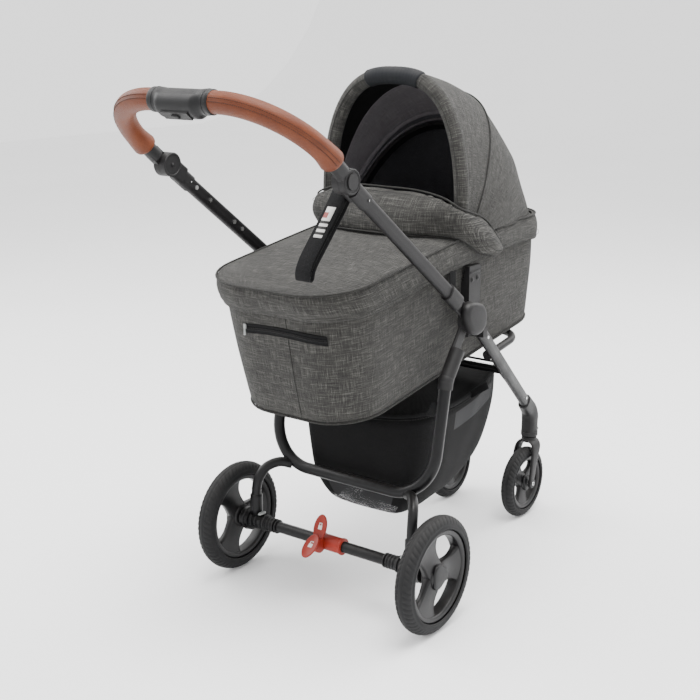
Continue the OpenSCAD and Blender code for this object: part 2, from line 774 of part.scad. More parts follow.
// Hoop of a bow, standing up from the pivot, thick along Y
module hoop(x, r, w, thick) {
  translate([-thick / 2, 0, 0]) rotate([90, 0, 90]) linear_extrude(thick) hoop_2d(x, r, w);
}
module hoop_2d(x, r, w) {
  rotate(90) difference() {
    hood_outline(x, r, -12);
    hood_outline(x - w, r - w, -20);
  }
}
bow_x = hood_x - 18;
bow_r = hood_r - 28;
pivot_r = 4;
module bow(x, r, a) {
  difference() {
    place() translate([0, hood_y, hood_z]) rotate([a - 90, 0, 0]) rotate([0, 0, 90]) hoop(x, r, 9, 16);
    place() x_disc(-200, 200, hood_y, hood_z, pivot_r + pin_fit);
  }
}
module hood_pivots() {
  color(steel) both() x_disc(bow_x - 24, tub_rim_x - wall - 1, hood_y, hood_z, pivot_r);
}
module hood_bow() { color(black) bow(bow_x, bow_r, 90); }
module hood_mid_bow() { color(black) bow(bow_x - 12, bow_r - 12, 47); }

// Foam grip round the top of the front bow
grip_half = 74;
module carry_grip() {
  color(black) place() translate([0, hood_y, hood_z]) intersection() {
    difference() {
      rotate([0, 0, 90]) hoop(bow_x + 10, hood_r - 4, 36, 26);
      rotate([0, 0, 90]) hoop(bow_x + 0.2, bow_r + 0.2, 9.6, 16.4);
    }
    translate([-grip_half, -50, 0]) cube([2 * grip_half, 100, 500]);
  }
}

front_leg_right();
front_leg_left();
hinge_covers();
caster_housings();
cross_tube();
seat_bar();
basket();
carrier_mounts();
leg_screws();
push_tube_right();
push_tube_left();
tube_sockets();
handle_hubs();
push_rivets();
rear_loop();
rear_sockets();
wheel_legs();
axle_housings();
axle_bar();
wheel_axles();
handle_tube();
grip_right();
grip_left();
handle_housing();
handle_yokes();
wrist_strap();
fold_trigger();
handle_button_right();
handle_button_left();
brake_pedal();
pedal_screw();
brake_pin_right();
brake_pin_left();
wheel_release_right();
wheel_release_left();
rear_tyre_right();
rear_tyre_left();
rear_rim_right();
rear_rim_left();
caster_fork_right();
caster_fork_left();
front_tyre_right();
front_tyre_left();
front_rim_right();
front_rim_left();
caster_lock_right();
caster_lock_left();
tub();
mattress();
apron();
wind_flap();
tub_brackets();
hood_pivots();
hood_rear_panel();
hood_mid_panel();
hood_mid_bow();
hood_front_panel();
hood_bow();
carry_grip();
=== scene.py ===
# %% [markdown]
# # A folding baby stroller, piece by piece
#
# The structure of the stroller comes in as a fixed frame of tubes, hinges and wheels, already at its real
# size. This lesson dresses that frame: it shapes the cloth, the leather, the tyres and the moulded covers,
# and gives every piece a finish built from nodes. Where a piece meets the frame, its place is read from the
# frame or given in millimetres from the rear axle.

# %% Load the frame
import math

import bmesh
import bpy
from mathutils import Matrix, Vector, noise


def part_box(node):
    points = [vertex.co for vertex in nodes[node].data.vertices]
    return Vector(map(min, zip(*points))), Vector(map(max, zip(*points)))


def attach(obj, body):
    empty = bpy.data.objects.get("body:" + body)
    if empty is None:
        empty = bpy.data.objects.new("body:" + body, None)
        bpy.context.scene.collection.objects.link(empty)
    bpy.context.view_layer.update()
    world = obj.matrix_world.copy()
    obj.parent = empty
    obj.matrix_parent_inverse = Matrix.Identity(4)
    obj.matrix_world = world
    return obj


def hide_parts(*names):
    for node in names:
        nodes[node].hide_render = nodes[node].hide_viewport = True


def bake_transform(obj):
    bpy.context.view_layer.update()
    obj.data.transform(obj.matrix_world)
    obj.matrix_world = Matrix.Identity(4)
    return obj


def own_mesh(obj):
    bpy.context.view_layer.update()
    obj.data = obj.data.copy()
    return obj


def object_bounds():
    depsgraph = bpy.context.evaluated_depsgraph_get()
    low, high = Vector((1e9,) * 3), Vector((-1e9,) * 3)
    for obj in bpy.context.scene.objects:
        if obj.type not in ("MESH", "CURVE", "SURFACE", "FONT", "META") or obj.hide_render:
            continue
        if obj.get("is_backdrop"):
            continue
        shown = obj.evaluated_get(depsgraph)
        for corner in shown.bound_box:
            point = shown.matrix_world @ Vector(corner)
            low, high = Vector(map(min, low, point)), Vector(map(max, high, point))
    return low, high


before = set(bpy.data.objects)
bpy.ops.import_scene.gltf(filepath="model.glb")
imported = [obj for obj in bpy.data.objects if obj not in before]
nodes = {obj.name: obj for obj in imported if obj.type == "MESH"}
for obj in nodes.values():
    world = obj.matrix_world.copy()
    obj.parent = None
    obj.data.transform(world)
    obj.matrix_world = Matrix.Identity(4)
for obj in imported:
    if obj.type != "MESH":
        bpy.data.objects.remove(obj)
cad_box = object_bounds()

# %% [markdown]
# ## Camera, light and floor
#
# A pram in a catalogue is shot from behind and to the pusher's right, a little above the handle, with a
# long lens so the wheels stay round. Large soft lights keep the dark frame readable, and a pale floor that
# fades into a pale world leaves only a soft shadow under the wheels.

# %% Camera
CAMERA_PLACE = Vector((1.5372, -2.1489, 1.2450))
CAMERA_AIM = Vector((-0.577, 0.7741, -0.2604))
camera_data = bpy.data.cameras.new("camera")
camera_data.sensor_width = 36.0
camera_data.lens = 63.5
camera = bpy.data.objects.new("camera", camera_data)
camera.location = CAMERA_PLACE
camera.rotation_euler = CAMERA_AIM.to_track_quat("-Z", "Y").to_euler()
bpy.context.scene.collection.objects.link(camera)
bpy.context.scene.camera = camera
print("camera at", tuple(round(x, 3) for x in camera.location))


# %% Lights
def add_area(name, place, aim, size, power, tint=(1.0, 1.0, 1.0)):
    data = bpy.data.lights.new(name, "AREA")
    data.shape = "DISK"
    data.size = size
    data.energy = power
    data.color = tint
    lamp = bpy.data.objects.new(name, data)
    lamp.location = place
    lamp.rotation_euler = (Vector(aim) - Vector(place)).to_track_quat("-Z", "Y").to_euler()
    bpy.context.scene.collection.objects.link(lamp)
    return lamp


MIDDLE = (0.0, 0.0, 0.55)
add_area("top_light", (0.5, -0.3, 3.6), MIDDLE, 2.4, 190.0)
add_area("left_light", (-3.2, -0.6, 2.6), MIDDLE, 2.6, 90.0)
add_area("back_light", (1.2, 3.2, 2.6), MIDDLE, 2.6, 90.0)
world = bpy.data.worlds.new("studio")
world.use_nodes = True
world.node_tree.nodes["Background"].inputs["Color"].default_value = (1.0, 1.0, 1.0, 1.0)
world.node_tree.nodes["Background"].inputs["Strength"].default_value = 1.75
bpy.context.scene.world = world

# %% [markdown]
# The floor is one wide sheet that curls up far behind the pram, so that it meets the world without a line.
# It is a plane whose far edge is extruded upwards in small turns, which is how a paper roll hangs in a
# studio.

# %% Floor
FLOOR_HALF = 9.0
floor_bm = bmesh.new()
bmesh.ops.create_grid(floor_bm, x_segments=1, y_segments=1, size=FLOOR_HALF)
far_edge = [e for e in floor_bm.edges if all(v.co.y > FLOOR_HALF - 0.1 for v in e.verts)]
CURL_STEPS, CURL_LENGTH = 8, 0.6
for step in range(1, CURL_STEPS + 1):
    grown = bmesh.ops.extrude_edge_only(floor_bm, edges=far_edge)["geom"]
    far_edge = [g for g in grown if isinstance(g, bmesh.types.BMEdge)]
    turn = math.radians(90 / CURL_STEPS * step)
    moved = [g for g in grown if isinstance(g, bmesh.types.BMVert)]
    bmesh.ops.translate(floor_bm, verts=moved,
                        vec=(0, CURL_LENGTH * math.cos(turn), CURL_LENGTH * math.sin(turn)))
floor_mesh = bpy.data.meshes.new("studio_floor")
floor_bm.to_mesh(floor_mesh)
floor_bm.free()
for face in floor_mesh.polygons:
    face.use_smooth = True
floor = bpy.data.objects.new("studio_floor", floor_mesh)
bpy.context.scene.collection.objects.link(floor)
floor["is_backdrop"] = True
print("floor faces", len(floor_mesh.polygons))

# %% [markdown]
# ## Finishes
#
# Every finish is a material with a Principled shader. What several finishes share, such as the threads of a
# weave or the fine grain of a moulded cover, is a node group with named sockets, so the same idea is built
# once and placed with other values. The groups put out only masks and heights; the shader stays in the
# material.


# %% Node helpers
def add_node(tree, kind, inputs=(), **settings):
    made = tree.nodes.new(kind)
    for key, value in settings.items():
        setattr(made, key, value)
    for key, value in dict(inputs).items():
        if isinstance(value, bpy.types.NodeSocket):
            tree.links.new(value, made.inputs[key])
        else:
            made.inputs[key].default_value = value
    return made


def math_node(tree, operation, a, b=0.0):
    return add_node(tree, "ShaderNodeMath", {0: a, 1: b}, operation=operation).outputs[0]


def new_group(name, inputs, outputs):
    tree = bpy.data.node_groups.new(name, "ShaderNodeTree")
    for title, kind, value in inputs:
        socket = tree.interface.new_socket(title, in_out="INPUT", socket_type=kind)
        if value is not None:
            socket.default_value = value
    for title in outputs:
        tree.interface.new_socket(title, in_out="OUTPUT", socket_type="NodeSocketFloat")
    return tree, tree.nodes.new("NodeGroupInput").outputs, tree.nodes.new("NodeGroupOutput").inputs


def fill_group(tree, group, inputs):
    return add_node(tree, "ShaderNodeGroup", inputs, node_tree=group)


print("node helpers ready")

# %% [markdown]
# A woven cloth has two sets of threads that pass over and under each other. Where the product of two sine
# waves is positive one set lies on top, and elsewhere the other. Long thin noise along each thread gives it
# its own shade, and that is what makes a melange look: light and dark yarns crossing, with thicker slubs
# here and there.


# %% Weave group
weave, weave_in, weave_out = new_group(
    "woven_threads",
    [("Vector", "NodeSocketVector", None), ("Threads", "NodeSocketFloat", 700.0),
     ("Slub Length", "NodeSocketFloat", 0.05)],
    ["Shade", "Height", "Slub"])
spread = add_node(weave, "ShaderNodeVectorMath", {0: weave_in["Vector"]}, operation="SCALE")
weave.links.new(weave_in["Threads"], spread.inputs["Scale"])
axes = add_node(weave, "ShaderNodeSeparateXYZ", {0: spread.outputs[0]})
along_u = math_node(weave, "MULTIPLY", axes.outputs[0], weave_in["Slub Length"])
along_v = math_node(weave, "MULTIPLY", axes.outputs[1], weave_in["Slub Length"])
warp_at = add_node(weave, "ShaderNodeCombineXYZ", {0: axes.outputs[0], 1: along_v})
weft_at = add_node(weave, "ShaderNodeCombineXYZ", {0: along_u, 1: axes.outputs[1], 2: 7.3})
warp = add_node(weave, "ShaderNodeTexNoise",
                {"Vector": warp_at.outputs[0], "Scale": 1.0, "Detail": 1.0}).outputs[0]
weft = add_node(weave, "ShaderNodeTexNoise",
                {"Vector": weft_at.outputs[0], "Scale": 1.0, "Detail": 1.0}).outputs[0]
wave_u = math_node(weave, "SINE", math_node(weave, "MULTIPLY", axes.outputs[0], math.pi))
wave_v = math_node(weave, "SINE", math_node(weave, "MULTIPLY", axes.outputs[1], math.pi))
crossing = math_node(weave, "MULTIPLY", wave_u, wave_v)
over = add_node(weave, "ShaderNodeMapRange", {0: crossing, 1: -0.3, 2: 0.3}).outputs[0]
shade = add_node(weave, "ShaderNodeMix", {0: over, 2: warp, 3: weft}).outputs[0]
weave.links.new(shade, weave_out["Shade"])
bumps = math_node(weave, "ABSOLUTE", crossing)
weave.links.new(math_node(weave, "ADD", bumps, shade), weave_out["Height"])
slub = add_node(weave, "ShaderNodeMapRange", {0: shade, 1: 0.57, 2: 0.74}).outputs[0]
weave.links.new(slub, weave_out["Slub"])
print("weave nodes", len(weave.nodes))

# %% [markdown]
# Moulded plastic and powder coat have a fine even grain, and anything that has been handled is a little
# smoother and lighter in patches. Dust settles on what faces up. Two small groups hold these.

# %% Grain and dust groups
grain, grain_in, grain_out = new_group(
    "fine_grain",
    [("Vector", "NodeSocketVector", None), ("Scale", "NodeSocketFloat", 900.0)],
    ["Height", "Patches"])
fine = add_node(grain, "ShaderNodeTexNoise",
                {"Vector": grain_in["Vector"], "Scale": grain_in["Scale"], "Detail": 2.0})
grain.links.new(fine.outputs[0], grain_out["Height"])
broad = add_node(grain, "ShaderNodeTexNoise", {"Vector": grain_in["Vector"], "Scale": 14.0, "Detail": 5.0})
patches = add_node(grain, "ShaderNodeMapRange", {0: broad.outputs[0], 1: 0.35, 2: 0.68}).outputs[0]
grain.links.new(patches, grain_out["Patches"])
dust, dust_in, dust_out = new_group(
    "settled_dust", [("Vector", "NodeSocketVector", None), ("Amount", "NodeSocketFloat", 0.15)], ["Mask"])
facing = add_node(dust, "ShaderNodeSeparateXYZ",
                  {0: add_node(dust, "ShaderNodeNewGeometry").outputs["Normal"]})
upward = add_node(dust, "ShaderNodeMapRange", {0: facing.outputs[2], 1: 0.25, 2: 1.0}).outputs[0]
speck = add_node(dust, "ShaderNodeTexNoise",
                 {"Vector": dust_in["Vector"], "Scale": 60.0, "Detail": 6.0}).outputs[0]
dust.links.new(math_node(dust, "MULTIPLY", math_node(dust, "MULTIPLY", upward, speck), dust_in["Amount"]),
               dust_out["Mask"])
print("grain nodes", len(grain.nodes), "dust nodes", len(dust.nodes))


# %% Material makers
def start_material(name):
    made = bpy.data.materials.new(name)
    made.use_nodes = True
    tree = made.node_tree
    where = tree.nodes.new("ShaderNodeTexCoord")
    return made, tree, tree.nodes["Principled BSDF"], where


def colour_mix(tree, factor, a, b):
    made = add_node(tree, "ShaderNodeMix", data_type="RGBA")
    tree.links.new(factor, made.inputs[0])
    for index, value in ((6, a), (7, b)):
        if isinstance(value, bpy.types.NodeSocket):
            tree.links.new(value, made.inputs[index])
        else:
            made.inputs[index].default_value = (*value, 1.0)
    return made.outputs[2]


def add_bump(tree, shader, height, distance, strength=1.0):
    bump = add_node(tree, "ShaderNodeBump", {"Height": height, "Distance": distance, "Strength": strength})
    tree.links.new(bump.outputs[0], shader.inputs["Normal"])


def hard_finish(name, dark, light, rough, grain_scale, depth, metallic=0.0, dusty=0.15, coat=0.0):
    made, tree, shader, where = start_material(name)
    skin = fill_group(tree, grain, {"Vector": where.outputs["Object"], "Scale": grain_scale})
    settled = fill_group(tree, dust, {"Vector": where.outputs["Object"], "Amount": dusty})
    base = colour_mix(tree, skin.outputs["Patches"], dark, light)
    tree.links.new(colour_mix(tree, settled.outputs["Mask"], base, (0.16, 0.15, 0.14)),
                   shader.inputs["Base Color"])
    rougher = add_node(tree, "ShaderNodeMapRange",
                       {0: skin.outputs["Patches"], 3: rough - 0.06, 4: rough + 0.08})
    tree.links.new(rougher.outputs[0], shader.inputs["Roughness"])
    shader.inputs["Metallic"].default_value = metallic
    shader.inputs["Specular IOR Level"].default_value = 0.28
    shader.inputs["Coat Weight"].default_value = coat
    add_bump(tree, shader, skin.outputs["Height"], depth)
    return made


GRAPHITE = hard_finish("graphite_powder_coat", (0.0065, 0.0060, 0.0065), (0.0105, 0.0098, 0.0105), 0.46,
                       1500.0, 0.00012, 0.2)
HOUSING = hard_finish("charcoal_housing", (0.0060, 0.0057, 0.0060), (0.0100, 0.0095, 0.0100), 0.52, 2200.0,
                      0.00010)
BLACK = hard_finish("black_moulding", (0.003, 0.003, 0.0035), (0.006, 0.006, 0.0065), 0.46, 1800.0, 0.00010)
LOOP_BLACK = hard_finish("black_powder_coat", (0.003, 0.003, 0.0035), (0.006, 0.006, 0.0065), 0.36, 1500.0,
                         0.00010, 0.3)
RIM = hard_finish("satin_rim", (0.005, 0.005, 0.0055), (0.009, 0.0085, 0.009), 0.38, 2000.0, 0.00006)
STEEL = hard_finish("satin_steel", (0.48, 0.48, 0.48), (0.62, 0.62, 0.62), 0.28, 900.0, 0.00003, 1.0, 0.05)
FOAM = hard_finish("closed_foam", (0.003, 0.0035, 0.005), (0.006, 0.007, 0.009), 0.80, 700.0, 0.0004)
BRAKE_RED = hard_finish("brake_red_moulding", (0.20, 0.014, 0.007), (0.26, 0.020, 0.010), 0.45, 1600.0,
                        0.00006, 0.0, 0.06)
RELEASE_GREY = hard_finish("release_grey_moulding", (0.22, 0.23, 0.225), (0.30, 0.31, 0.30), 0.42, 1600.0,
                           0.00006, 0.0, 0.06)
RUBBER = hard_finish("tyre_foam_rubber", (0.004, 0.004, 0.0045), (0.008, 0.008, 0.0085), 0.68, 1100.0,
                     0.00015)
MARK_WHITE = hard_finish("printed_mark", (0.50, 0.49, 0.47), (0.60, 0.59, 0.57), 0.50, 1600.0, 0.00004, 0.0,
                         0.03)
print("hard finishes", len(bpy.data.materials))

# %% [markdown]
# The cloth of the carrycot is a grey linen-look melange. Its weave follows the cloth's own length and
# width, kept in the UV map in metres, so it turns with the folds. A soft sheen stands for the fuzz of the
# yarn.


# %% Cloth finishes
def cloth_finish(name, dark, mid, light, threads, slub, depth, coordinates="UV", turn=(0.0, 0.0, 0.0),
                 sheen=0.06):
    made, tree, shader, where = start_material(name)
    lay = add_node(tree, "ShaderNodeMapping", {"Vector": where.outputs[coordinates], "Rotation": turn})
    yarn = fill_group(tree, weave, {"Vector": lay.outputs[0], "Threads": threads, "Slub Length": slub})
    cloudy = add_node(tree, "ShaderNodeTexNoise",
                      {"Vector": lay.outputs[0], "Scale": 9.0, "Detail": 4.0}).outputs[0]
    spread_shade = add_node(tree, "ShaderNodeMapRange",
                            {0: yarn.outputs["Shade"], 1: 0.36, 2: 0.64}).outputs[0]
    base = colour_mix(tree, spread_shade, dark, mid)
    base = colour_mix(tree, yarn.outputs["Slub"], base, light)
    worn = add_node(tree, "ShaderNodeMapRange", {0: cloudy, 1: 0.3, 2: 0.75, 3: 0.0, 4: 0.22}).outputs[0]
    tree.links.new(colour_mix(tree, worn, base, mid), shader.inputs["Base Color"])
    shader.inputs["Roughness"].default_value = 0.88
    shader.inputs["Specular IOR Level"].default_value = 0.2
    shader.inputs["Sheen Weight"].default_value = sheen
    shader.inputs["Sheen Roughness"].default_value = 0.5
    add_bump(tree, shader, yarn.outputs["Height"], depth)
    return made


MELANGE_YARNS = ((0.0100, 0.0096, 0.0090), (0.048, 0.0465, 0.0425), (0.120, 0.117, 0.107), 660.0, 0.055,
                 0.0006)
MELANGE = cloth_finish("grey_melange_linen", *MELANGE_YARNS)
MELANGE_FLAP = cloth_finish("grey_melange_pad", *MELANGE_YARNS, "Object", (math.radians(90), 0.0, 0.0))
PIPING = cloth_finish("dark_piping", (0.008, 0.008, 0.0075), (0.026, 0.025, 0.023), (0.05, 0.05, 0.046),
                      900.0, 0.1, 0.0003)
LINING = cloth_finish("taupe_lining", (0.11, 0.10, 0.11), (0.15, 0.14, 0.15), (0.19, 0.18, 0.19), 900.0,
                      0.05, 0.0003)
BLACK_CLOTH = cloth_finish("black_plain_cloth", (0.0012, 0.0012, 0.0015), (0.0030, 0.0030, 0.0033),
                           (0.006, 0.006, 0.0065), 900.0, 0.1, 0.0003, sheen=0.0)
PALE_LINING = cloth_finish("pale_cotton_lining", (0.34, 0.34, 0.38), (0.42, 0.42, 0.47), (0.50, 0.50, 0.54),
                           1000.0, 0.1, 0.0003)
MATTRESS = cloth_finish("mattress_jersey", (0.30, 0.30, 0.34), (0.38, 0.38, 0.43), (0.45, 0.45, 0.49),
                        1000.0, 0.1, 0.0003, "Object")
HOOD_MESH = cloth_finish("grey_hood_mesh", (0.035, 0.035, 0.040), (0.065, 0.065, 0.073), (0.10, 0.10, 0.11),
                         900.0, 0.5, 0.0004)
WEBBING = cloth_finish("ribbed_webbing", (0.002, 0.002, 0.0025), (0.005, 0.005, 0.0055),
                       (0.009, 0.009, 0.01), 420.0, 0.9, 0.0008, sheen=0.0)
print("cloth finishes made")

# %% [markdown]
# An open mesh is a cloth with holes. Two crossing waves leave a hole where both are low, and the hole goes
# to the shader's Alpha, so that light passes.

# %% Mesh cloth
MESH_CLOTH, mesh_tree, mesh_shader, mesh_where = start_material("open_mesh")
mesh_scale = add_node(mesh_tree, "ShaderNodeVectorMath", {0: mesh_where.outputs["UV"], "Scale": 330.0},
                      operation="SCALE")
mesh_axes = add_node(mesh_tree, "ShaderNodeSeparateXYZ", {0: mesh_scale.outputs[0]})
mesh_waves = [math_node(mesh_tree, "ABSOLUTE", math_node(mesh_tree, "SINE", math_node(
    mesh_tree, "MULTIPLY", mesh_axes.outputs[i], math.pi))) for i in (0, 1)]
mesh_hole = math_node(mesh_tree, "MULTIPLY", mesh_waves[0], mesh_waves[1])
mesh_solid = math_node(mesh_tree, "LESS_THAN", mesh_hole, 0.42)
mesh_tree.links.new(mesh_solid, mesh_shader.inputs["Alpha"])
mesh_tree.links.new(colour_mix(mesh_tree, mesh_hole, (0.022, 0.022, 0.024), (0.008, 0.008, 0.009)),
                    mesh_shader.inputs["Base Color"])
mesh_shader.inputs["Roughness"].default_value = 0.8
print("mesh cloth ready")

# %% [markdown]
# Tan leather has a pebbled grain with fine creases, and is darker where it is pressed and paler where hands
# polish it. A Voronoi texture makes the pebbles, and noise shifts the tan.

# %% Leather and thread
LEATHER, hide_tree, hide_shader, hide_where = start_material("tan_leather")
pebble = add_node(hide_tree, "ShaderNodeTexVoronoi",
                  {"Vector": hide_where.outputs["Object"], "Scale": 620.0}, feature="F1").outputs[0]
cloud = add_node(hide_tree, "ShaderNodeTexNoise",
                 {"Vector": hide_where.outputs["Object"], "Scale": 32.0, "Detail": 6.0}).outputs[0]
hide_tone = add_node(hide_tree, "ShaderNodeMapRange", {0: cloud, 1: 0.3, 2: 0.7}).outputs[0]
hide_base = colour_mix(hide_tree, hide_tone, (0.098, 0.022, 0.0065), (0.142, 0.036, 0.0105))
hide_dark = add_node(hide_tree, "ShaderNodeMapRange",
                     {0: pebble, 1: 0.35, 2: 0.75, 3: 0.0, 4: 0.35}).outputs[0]
hide_tree.links.new(colour_mix(hide_tree, hide_dark, hide_base, (0.055, 0.013, 0.005)),
                    hide_shader.inputs["Base Color"])
hide_rough = add_node(hide_tree, "ShaderNodeMapRange", {0: cloud, 3: 0.42, 4: 0.60}).outputs[0]
hide_tree.links.new(hide_rough, hide_shader.inputs["Roughness"])
hide_shader.inputs["Specular IOR Level"].default_value = 0.25
add_bump(hide_tree, hide_shader, math_node(hide_tree, "MULTIPLY", pebble, -1.0), 0.0004)
THREAD = hard_finish("waxed_thread", (0.030, 0.009, 0.004), (0.045, 0.014, 0.006), 0.6, 1200.0, 0.0001, 0.0,
                     0.0)
GREY_THREAD = hard_finish("grey_thread", (0.012, 0.012, 0.011), (0.02, 0.02, 0.019), 0.7, 1200.0, 0.0001,
                          0.0, 0.0)
FLOOR, floor_tree, floor_shader, floor_where = start_material("pale_floor")
floor_tone = add_node(floor_tree, "ShaderNodeTexNoise",
                      {"Vector": floor_where.outputs["Object"], "Scale": 1.3}).outputs[0]
floor_tree.links.new(colour_mix(floor_tree, floor_tone, (0.90, 0.90, 0.90), (0.94, 0.94, 0.94)),
                     floor_shader.inputs["Base Color"])
floor_shader.inputs["Roughness"].default_value = 0.75
floor_mesh.materials.append(FLOOR)
print("materials", len(bpy.data.materials))

# %% [markdown]
# ## Tools for making pieces
#
# A loft is the most useful shape here: an edge loop that is extruded ring by ring, each new ring moved to
# its own place. Cloth shells, tubes, rolls and straps are all lofts. The new ring's corners are found
# through the edges that the extrude made, and each face gets UVs in metres on the way, for the weave.


# %% Loft
AXLE_Y = sum(corner.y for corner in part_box("axle_bar")) / 2


def at(x, y, z):
    """A place in millimetres, with y forwards from the rear axle."""
    return Vector((x / 1000, AXLE_Y + y / 1000, z / 1000))


def loft(bm, rings, closed=False, cap=False, material=0):
    rings = [list(r) + [r[0]] if closed else list(r) for r in rings]
    layer = bm.loops.layers.uv.verify()
    corners = [bm.verts.new(p) for p in rings[0]]
    edges = [bm.edges.new(pair) for pair in zip(corners, corners[1:])]
    across = [0.0]
    for a, b in zip(rings[len(rings) // 2], rings[len(rings) // 2][1:]):
        across.append(across[-1] + (b - a).length)
    place_of = {v: (across[i], 0.0) for i, v in enumerate(corners)}
    all_verts, run = list(corners), 0.0
    faces = []
    for ring, before in zip(rings[1:], rings):
        run += sum((a - b).length for a, b in zip(ring, before)) / len(ring)
        grown = bmesh.ops.extrude_edge_only(bm, edges=edges)["geom"]
        new_verts = {g for g in grown if isinstance(g, bmesh.types.BMVert)}
        edges = [g
                 for g in grown if isinstance(g, bmesh.types.BMEdge) and all(v in new_verts for v in g.verts)]
        faces += [g for g in grown if isinstance(g, bmesh.types.BMFace)]
        following = [next(o for o in (e.other_vert(v) for e in v.link_edges) if o in new_verts)
                     for v in corners]
        for i, (v, p) in enumerate(zip(following, ring)):
            v.co = p
            place_of[v] = (across[i], run)
        corners = following
        all_verts += following
    for face in faces:
        face.material_index = material
        face.smooth = True
        for corner in face.loops:
            corner[layer].uv = place_of[corner.vert]
    if closed:
        bmesh.ops.remove_doubles(bm, verts=[v for v in all_verts if v.is_valid], dist=1e-6)
    if cap:
        rims = [e for e in bm.edges if e.is_boundary]
        bmesh.ops.holes_fill(bm, edges=rims, sides=0)
    return faces


def piece(bm, name, body, materials, sub=0, thick=0.0, bevel=0.0, smooth=True, offset=-1.0):
    bmesh.ops.recalc_face_normals(bm, faces=bm.faces[:])
    mesh = bpy.data.meshes.new(name)
    bm.to_mesh(mesh)
    bm.free()
    for face in mesh.polygons:
        face.use_smooth = smooth
    for finish in materials:
        mesh.materials.append(finish)
    made = bpy.data.objects.new(name, mesh)
    bpy.context.scene.collection.objects.link(made)
    if thick:
        wall = made.modifiers.new("thickness", "SOLIDIFY")
        wall.thickness = thick
        wall.offset = offset
    if bevel:
        edge = made.modifiers.new("soft_edges", "BEVEL")
        edge.width = bevel
        edge.segments = 2
        edge.limit_method = "ANGLE"
        edge.harden_normals = True
    if sub:
        smoother = made.modifiers.new("smooth", "SUBSURF")
        smoother.levels = sub
        smoother.render_levels = sub
    if body:
        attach(made, body)
    return made


def turns(count):
    """Even angles once round."""
    return [2 * math.pi * k / count for k in range(count)]


def spin_section(bm, section, centre, steps, closed=False):
    """A section drawn as (radius, place along X) in metres, spun round X."""
    verts = [bm.verts.new(centre + Vector((x, 0, r))) for r, x in section]
    following = verts[1:] + verts[:1] if closed else verts[1:]
    edges = [bm.edges.new(pair) for pair in zip(verts, following)]
    bmesh.ops.spin(bm, geom=verts + edges, cent=centre, axis=(1, 0, 0), dvec=(0, 0, 0), angle=2 * math.pi,
                   steps=steps, use_merge=True, use_duplicate=False)


print("rear axle at y", round(AXLE_Y, 4))


# %% Tubes, stitches and simple solids
def steady_frames(path):
    """Two directions across the path at each point, turning as little as possible along it."""
    tangents = [(path[min(i + 1, len(path) - 1)] - path[max(i - 1, 0)]).normalized()
                for i in range(len(path))]
    side = tangents[0].orthogonal().normalized()
    frames = []
    for tangent in tangents:
        side = (side - tangent * side.dot(tangent)).normalized()
        frames.append((side, tangent.cross(side)))
    return frames


def tube(bm, path, radius, around=12, cap=True, material=0, flat=1.0, side=None):
    """Round or oval tube along a path. radius is a number, or a function of the share of the way along."""
    frames = steady_frames(path)
    rings = []
    for i, (point, (u, v)) in enumerate(zip(path, frames)):
        if side is not None:
            tangent = u.cross(v)
            u = (side - tangent * side.dot(tangent)).normalized()
            v = tangent.cross(u)
        r = radius(i / (len(path) - 1)) if callable(radius) else radius
        rings.append([point + (u * math.cos(k) + v * math.sin(k) * flat) * r for k in turns(around)])
    return loft(bm, rings, closed=True, cap=cap, material=material)


def stitches(bm, path, pitch, size, material=0):
    """Short raised threads along a path, each a few faces."""
    gone, total = 0.0, 0
    for a, b in zip(path, path[1:]):
        span = (b - a).length
        while gone < span:
            middle = a + (b - a) * (gone / span)
            turn = (b - a).to_track_quat("X", "Z").to_matrix().to_4x4()
            shape = Matrix.Translation(middle) @ turn @ Matrix.Diagonal((pitch * 0.62, size, size, 1.0))
            made = bmesh.ops.create_cube(bm, size=1.0, matrix=shape)["verts"]
            for face in {f for v in made for f in v.link_faces}:
                face.material_index = material
            total += 1
            gone += pitch
        gone -= span
    return total


def disc(bm, centre, radius, depth, axis="X", around=48, soft=0.0):
    """A round plate with softened rims, centred at a point and facing along an axis."""
    turn = Matrix.Rotation(math.pi / 2, 4, "Y") if axis == "X" else Matrix()
    made = bmesh.ops.create_cone(bm, cap_ends=True, segments=around, radius1=radius, radius2=radius,
                                 depth=depth,
                                 matrix=Matrix.Translation(centre) @ turn)["verts"]
    faces = {f for v in made for f in v.link_faces}
    if soft:
        rims = [e for e in {e for f in faces for e in f.edges} if any(len(f.verts) > 4 for f in e.link_faces)]
        bmesh.ops.bevel(bm, geom=rims, offset=soft, segments=3, profile=0.5, affect="EDGES", material=-1)
    return made


def bevelled_box(bm, low, high, soft, material=0):
    size = high - low
    place = Matrix.Translation((low + high) / 2) @ Matrix.Diagonal((*size, 1.0))
    made = bmesh.ops.create_cube(bm, size=1.0, matrix=place)["verts"]
    edges = list({e for v in made for e in v.link_edges})
    before = set(bm.faces) - {f for v in made for f in v.link_faces}
    bmesh.ops.bevel(bm, geom=edges, offset=soft, segments=3, profile=0.5, affect="EDGES", material=-1)
    for face in set(bm.faces) - before:
        face.material_index = material
    return made


def wear(nodes_and_finish):
    for names, finish in nodes_and_finish:
        for name in names.split():
            mesh = nodes[name].data
            mesh.materials.clear()
            mesh.materials.append(finish)


print("piece tools ready")

# %% [markdown]
# ## The frame's own parts
#
# The tubes, axles and brackets have the right shape already, so they only take their finish. Powder coat
# goes on the tubes, moulded plastic on the hinge parts, and the rear loop with its axle is black.

